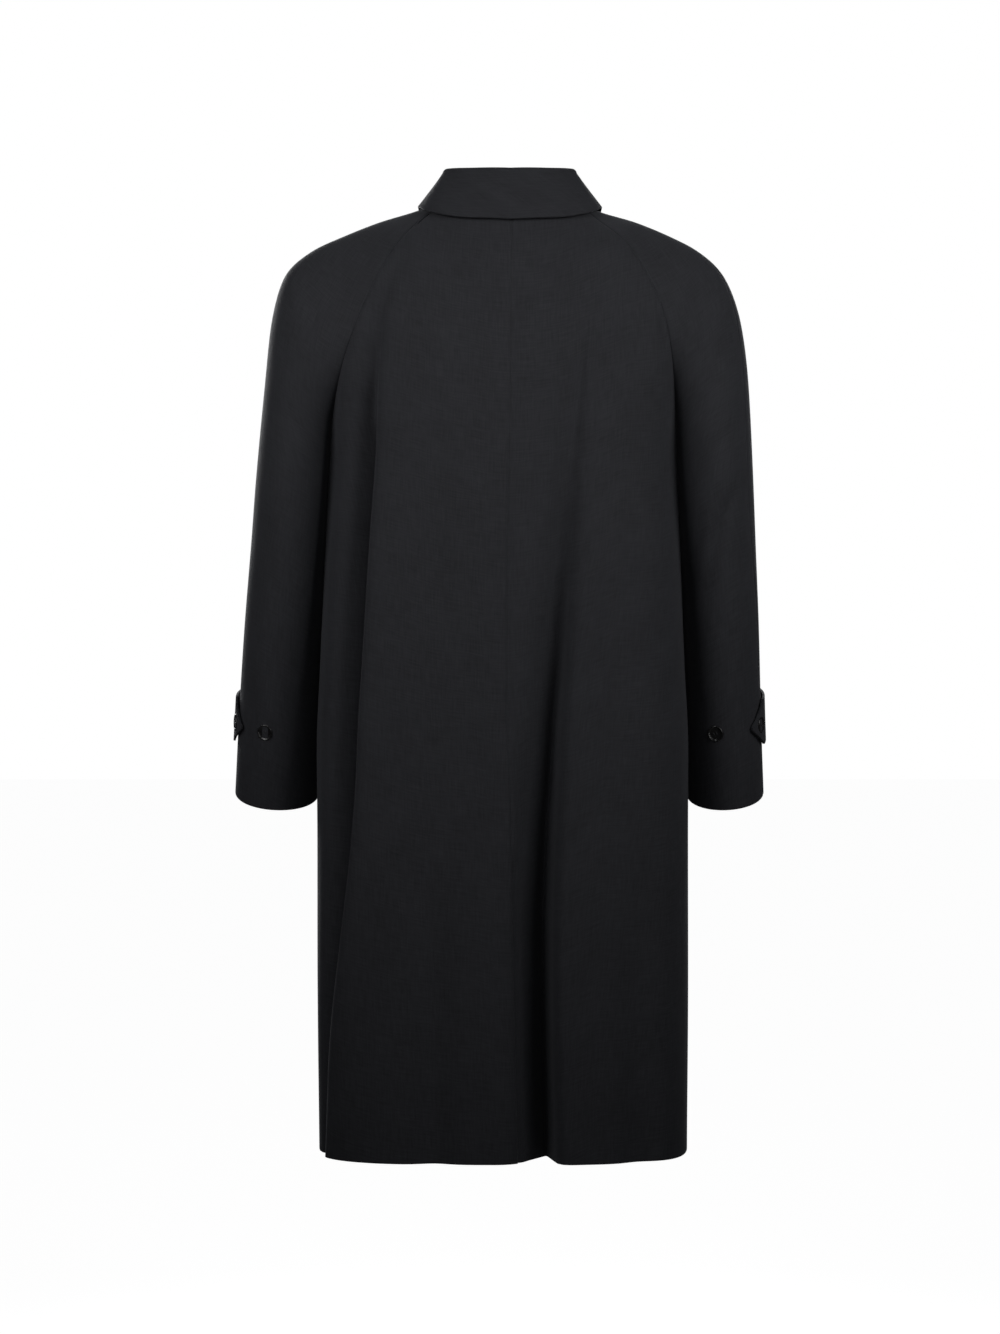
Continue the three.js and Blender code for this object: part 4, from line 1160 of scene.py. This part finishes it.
def button_model(radius):
    """A button that lies on the origin and faces up."""
    deselect()
    tall = BUTTON_TALL * radius
    bpy.ops.mesh.primitive_cylinder_add(vertices=72, radius=radius, depth=tall, location=(0, 0, tall / 2))
    disc = bpy.context.object
    bpy.ops.object.transform_apply(location=True)
    bpy.ops.object.mode_set(mode="EDIT")
    bpy.ops.mesh.select_mode(type="FACE")
    select_facing(disc, 1)
    bpy.ops.mesh.inset(thickness=RIM_WIDE * radius, depth=0)
    bpy.ops.mesh.inset(thickness=DISH_SLOPE * radius, depth=-DISH_DEEP * radius)
    select_facing(disc, -1)
    bpy.ops.mesh.inset(thickness=FOOT_RING * radius, depth=0)
    bpy.ops.object.mode_set(mode="OBJECT")
    rim = disc.modifiers.new("rim", "BEVEL")
    rim.width = RIM_ROUND * radius
    rim.segments = 4
    rim.limit_method = "ANGLE"
    rim.angle_limit = np.radians(35)
    apply_modifiers(disc)
    offset = HOLE_OFFSET * radius
    for x, y in ((1, 1), (1, -1), (-1, 1), (-1, -1)):
        cut_hole(disc, x * offset, y * offset, HOLE_RADIUS * radius, CUTTER_LONG * tall)
    bpy.ops.object.shade_smooth_by_angle(angle=np.radians(40))
    print("button of", round(2 * radius / MM, 1), "mm:", len(disc.data.polygons), "faces")
    return disc


# %% [markdown]
# Thread holds a button: two short strands, each from hole to hole across the dish. A strand is a bent
# tube along a half circle, so its ends go down into the holes.

# %% Thread through the holes
THREAD_RADIUS = 0.35 * MM
STRAND_POINTS = 13
STRAND_APART = 1.5
STRAND_PAST = 0.2
STRAND_SUNK, STRAND_HIGH = 0.06, 0.1
STRAND_CLEAR = 0.3


def tube(name, path, radius, sides=8):
    """A closed tube of thread along a path of points."""
    path = np.array(path, float)
    along = unit(np.gradient(path, axis=0))
    upright = np.abs(along[:, 2:]) > LEVEL
    across = unit(np.cross(along, np.where(upright, [1.0, 0, 0], [0, 0, 1.0])))
    third = np.cross(along, across)
    turn = 2 * np.pi * np.arange(sides) / sides
    ring = np.cos(turn)[:, None] * across[:, None] + np.sin(turn)[:, None] * third[:, None]
    points = (path[:, None] + radius * ring).reshape(-1, 3)
    index = np.arange(len(points)).reshape(len(path), sides)
    quads = [(a, b, c, d) for upper, lower in zip(index[:-1], index[1:])
             for a, b, c, d in zip(upper, np.roll(upper, -1), np.roll(lower, -1), lower)]
    mesh = bpy.data.meshes.new(name)
    mesh.from_pydata(points.tolist(), [], quads + [tuple(index[0][::-1]), tuple(index[-1])])
    whole = bpy.data.objects.new(name, mesh)
    bpy.context.collection.objects.link(whole)
    return whole


def button_thread(radius):
    """Two pairs of strands, side by side, which rise from one hole's inside and end in the next one's."""
    strands = []
    reach = HOLE_OFFSET * radius
    ends = (BUTTON_TALL - DISH_DEEP - STRAND_SUNK) * radius
    rise = STRAND_HIGH * radius + STRAND_CLEAR * THREAD_RADIUS
    angle = np.linspace(-STRAND_PAST, np.pi + STRAND_PAST, STRAND_POINTS)
    for side in (1, -1):
        for shift in (-0.5, 0.5):
            x = side * (reach + shift * STRAND_APART * THREAD_RADIUS) + 0 * angle
            height = ends + rise * np.sin(angle)
            path = np.stack([x, reach * np.cos(angle), height], axis=-1)
            strands.append(tube("thread", path, THREAD_RADIUS))
    deselect()
    for strand in strands:
        strand.select_set(True)
    bpy.context.view_layer.objects.active = strands[0]
    bpy.ops.object.join()
    bpy.ops.object.shade_smooth()
    return bpy.context.object


print("thread:", 2 * THREAD_RADIUS / MM, "mm thick")

# %% [markdown]
# Polished horn is cloudy black with a thin clear shine, which is the shader's coat. Its clouds change the
# colour and the roughness a little together. The thread is matt, and its twist shows as fine dark spots.
# Both patterns read Object coordinates, so that they stay on the piece.

# %% Materials of buttons and thread
CLOUDS_PER_METRE, TWISTS_PER_METRE = 160.0, 2500.0
HORN_DARK, HORN_LIGHT = (0.003, 0.003, 0.0032), (0.009, 0.0085, 0.0082)
THREAD_DARK, THREAD_LIGHT = (0.008, 0.008, 0.009), (0.022, 0.022, 0.025)
HORN_SMOOTH, HORN_ROUGHER = 0.17, 0.18
OBJECT_PLACE = 3

horn, horn_shader, start = new_material("horn", Coat_Weight=0.5, Coat_Roughness=0.08)
clouds = start.node("ShaderNodeTexCoord", {}, {}, OBJECT_PLACE).noise(CLOUDS_PER_METRE, detail=3.0)
plug(clouds.blend(HORN_DARK, HORN_LIGHT), horn_shader, "Base Color")
plug(clouds * HORN_ROUGHER + HORN_SMOOTH, horn_shader, "Roughness")

thread, thread_shader, start = new_material("thread", Roughness=0.6)
twist = start.node("ShaderNodeTexCoord", {}, {}, OBJECT_PLACE).noise(TWISTS_PER_METRE, detail=1.0)
plug(twist.blend(THREAD_DARK, THREAD_LIGHT), thread_shader, "Base Color")
print("horn and thread:", len(horn.node_tree.nodes), "and", len(thread.node_tree.nodes), "nodes")

# %% [markdown]
# The buttons go where the CAD model has them. Each CAD button is a flat disc, so its axis is the direction
# in which its points spread least, and its seat is the lowest of them along that axis.

# %% Placing the buttons
SMALL_BUTTON, LARGE_BUTTON = 9 * MM, 11.5 * MM
# The middle of a sleeve, and of the coat, tell which way is out.
SLEEVE_BEYOND, SLEEVE_MIDDLE, COAT_MIDDLE = 0.1, 0.24, -0.03
button_of = {}


def cad_points(node):
    shown = [o for o in bpy.data.objects if o.name == node and o.type == "MESH"]
    matrix = shown[0].matrix_world
    return np.array([matrix @ v.co for v in shown[0].data.vertices])


def place_button(node, radius):
    points = cad_points(node)
    centre = points.mean(axis=0)
    axis = np.linalg.svd(points - centre, full_matrices=False)[2][2]
    middle = np.sign(centre[0]) * SLEEVE_MIDDLE if abs(centre[0]) > SLEEVE_BEYOND else 0
    inside = np.array([middle, COAT_MIDDLE, centre[2]])
    if axis @ (centre - inside) < 0:
        axis = -axis
    heights = (points - centre) @ axis
    seat = centre + axis * heights.min()
    if radius not in button_of:
        button_of[radius] = (button_model(radius), button_thread(radius))
    turn = Vector((0, 0, 1)).rotation_difference(Vector(axis)).to_matrix().to_4x4()
    for model, name, material, slot in zip(
            button_of[radius], (node, node + ".thread"), (horn, thread), ("button_horn", "coat_cloth")):
        copy = bpy.data.objects.new(name, model.data.copy())
        bpy.context.collection.objects.link(copy)
        copy.data.transform(Matrix.Translation(seat) @ turn)
        copy.data.materials.clear()
        copy.data.materials.append(material)
        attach(copy, "root")
        if model is button_of[radius][0]:
            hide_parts(node)
        print(copy.name, "at", [round(float(v), 3) for v in seat])
    return seat, axis


seats = {}
for side in SIDES:
    seats[f"tab_{side}"] = place_button(f"tab_button_{side}", SMALL_BUTTON)
    place_button(f"sleeve_button_{side}", SMALL_BUTTON)
for number in (1, 2, 3, 4):
    seats[f"front_{number}"] = place_button(f"front_button_{number}", LARGE_BUTTON)
for models in button_of.values():
    for model in models:
        bpy.data.objects.remove(model)

# %% [markdown]
# A worked buttonhole is a slit whose rim is covered with close stitches. What shows of it is a long narrow
# ring of thread. A ring could be cut into the cloth as real stitches, but they are finer than the photograph.
# One thin tube per hole is enough: each of its points is dropped on the cloth with a ray. The button sits at
# the end of its hole that is nearer the edge of the cloth.

# %% Buttonholes
HOLE_WIDTH = 2.4 * MM
HOLE_THREAD = 0.5 * MM
HOLE_BEYOND = 3 * MM
FRONT_HOLE, TAB_HOLE = 27 * MM, 21 * MM
RING_POINTS = 49
RAY_FROM, RAY_LONG = 10 * MM, 30 * MM


def buttonhole(name, cloth_name, seat, out, run, length):
    """A ring of thread on a piece, from just beyond the button's centre along the direction run."""
    cloth = next(piece for piece in coat if piece.name.split(".")[0] == cloth_name)
    run = unit(run - out * (run @ out))
    across = np.cross(out, run)
    turn = np.linspace(0, 2 * np.pi, RING_POINTS)
    ends = np.sign(np.cos(turn)) * np.sqrt(np.abs(np.cos(turn)))
    lengthwise = (length / 2 - HOLE_BEYOND + length / 2 * ends)[:, None] * run
    flat = seat + lengthwise + (HOLE_WIDTH / 2 * np.sin(turn))[:, None] * across
    path = []
    for place in flat:
        start = Vector(place + RAY_FROM * out)
        hit, location, _, _ = cloth.ray_cast(start, Vector(-out), distance=RAY_LONG)
        path.append(np.array(location) + out * HOLE_THREAD / 2 if hit else place)
    ring = tube(name, path, HOLE_THREAD)
    ring.data.shade_smooth()
    ring.data.materials.append(thread)
    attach(ring, "root")
    print(name, "on", cloth_name, len(path), "points")


for number in (1, 2, 3, 4):
    seat, out = seats[f"front_{number}"]
    buttonhole(f"buttonhole_{number}", "front_left", seat, out, np.array([1.0, 0, 0]), FRONT_HOLE)
for side in SIDES:
    seat, out = seats[f"tab_{side}"]
    points = cad_points(f"tab_{side}")
    tip = points[points[:, 1].argmax()]
    buttonhole(f"buttonhole_tab_{side}", f"tab_{side}", seat, out, seat - tip, TAB_HOLE)

# %% [markdown]
# The camera stands level with the middle of the coat, three metres behind it, as in the photograph. Its lens
# follows from how tall a strip it has to see at that distance.

# %% Camera
CAMERA_AWAY, CAMERA_SIDE, CAMERA_LEVEL = 3.0, 0.00784, -0.5152
FRAME_TALL = 1.494
SENSOR = 36
camera_data = bpy.data.cameras.new("camera")
camera_data.sensor_width = SENSOR
camera_data.lens = SENSOR * CAMERA_AWAY / FRAME_TALL
camera = bpy.data.objects.new("camera", camera_data)
camera.location = (CAMERA_SIDE, CAMERA_AWAY, CAMERA_LEVEL)
camera.rotation_euler = (np.radians(90), 0, np.radians(180))
bpy.context.collection.objects.link(camera)
bpy.context.scene.camera = camera
print("lens:", round(camera_data.lens, 1), "mm")

# %% [markdown]
# The floor is pale. It and the world are white only where the camera sees them, and give the coat little
# light, as a white studio wall some way off does. A Light Path node tells the two apart.

# %% Floor and world
FLOOR = -1.48
FLOOR_SIZE = 40
FLOOR_TONE = (0.25, 0.25, 0.25, 1)
FLOOR_SEEN = (0.97, 0.97, 0.97)
SKY_LIGHT, SKY_SEEN = (0.03, 0.0305, 0.034), (1, 1, 1)
deselect()
bpy.ops.mesh.primitive_plane_add(size=FLOOR_SIZE, location=(0, 0, FLOOR))
floor = bpy.context.object
floor.name = "floor"
pale, pale_shader, start = new_material("pale floor", Roughness=0.9)
pale_shader.inputs["Base Color"].default_value = FLOOR_TONE
seen = start.node("ShaderNodeLightPath", {}, {})
plug(seen.blend((0, 0, 0), FLOOR_SEEN), pale_shader, "Emission Color")
pale_shader.inputs["Emission Strength"].default_value = 1.0
floor.data.materials.append(pale)

world = bpy.data.worlds.new("studio")
world.use_nodes = True
bpy.context.scene.world = world
studio = Value(world.node_tree, None)
sky = studio.node("ShaderNodeLightPath", {}, {}).blend(SKY_LIGHT, SKY_SEEN)
world.node_tree.links.new(sky.socket, world.node_tree.nodes["Background"].inputs["Color"])
bpy.context.scene.view_settings.view_transform = "Standard"

# %% [markdown]
# Two soft lights stand at the sides, well off the camera's axis. They make the shoulders bright and leave the
# valleys beside the sleeves dark. A weak light from the camera's side keeps the deep fold from going black.
# Two more in front show the buttons when the coat is seen from there.

# %% Lights
LIGHT_SPREAD = 90


def soft_light(name, place, aim, size, power):
    data = bpy.data.lights.new(name, "AREA")
    data.energy = power
    data.size = size
    data.spread = np.radians(LIGHT_SPREAD)
    light = bpy.data.objects.new(name, data)
    light.location = place
    light.rotation_euler = (Vector(aim) - light.location).to_track_quat("-Z", "Y").to_euler()
    bpy.context.collection.objects.link(light)
    print(name, "light:", power, "W,", size, "m wide")


soft_light("right key", place=(-1.05, 1.0, 0.2), aim=(0, 0, -0.1), size=0.9, power=3.3)
soft_light("left key", place=(1.05, 1.0, 0.2), aim=(0, 0, -0.1), size=0.9, power=2.9)
soft_light("fill", place=(0, 2.2, -0.3), aim=(0, 0, -0.3), size=1.2, power=0.9)
soft_light("front right", place=(-0.5, -2.0, 0.3), aim=(0, 0, -0.3), size=0.9, power=6.0)
soft_light("front left", place=(0.8, -1.9, 0.3), aim=(0, 0, -0.3), size=0.9, power=9.0)

# %% [markdown]
# The last cell has a helper that turns a box into a list of its two corners.

# %% A helper for boxes
def corners(box):
    return [list(box[0]), list(box[1])]
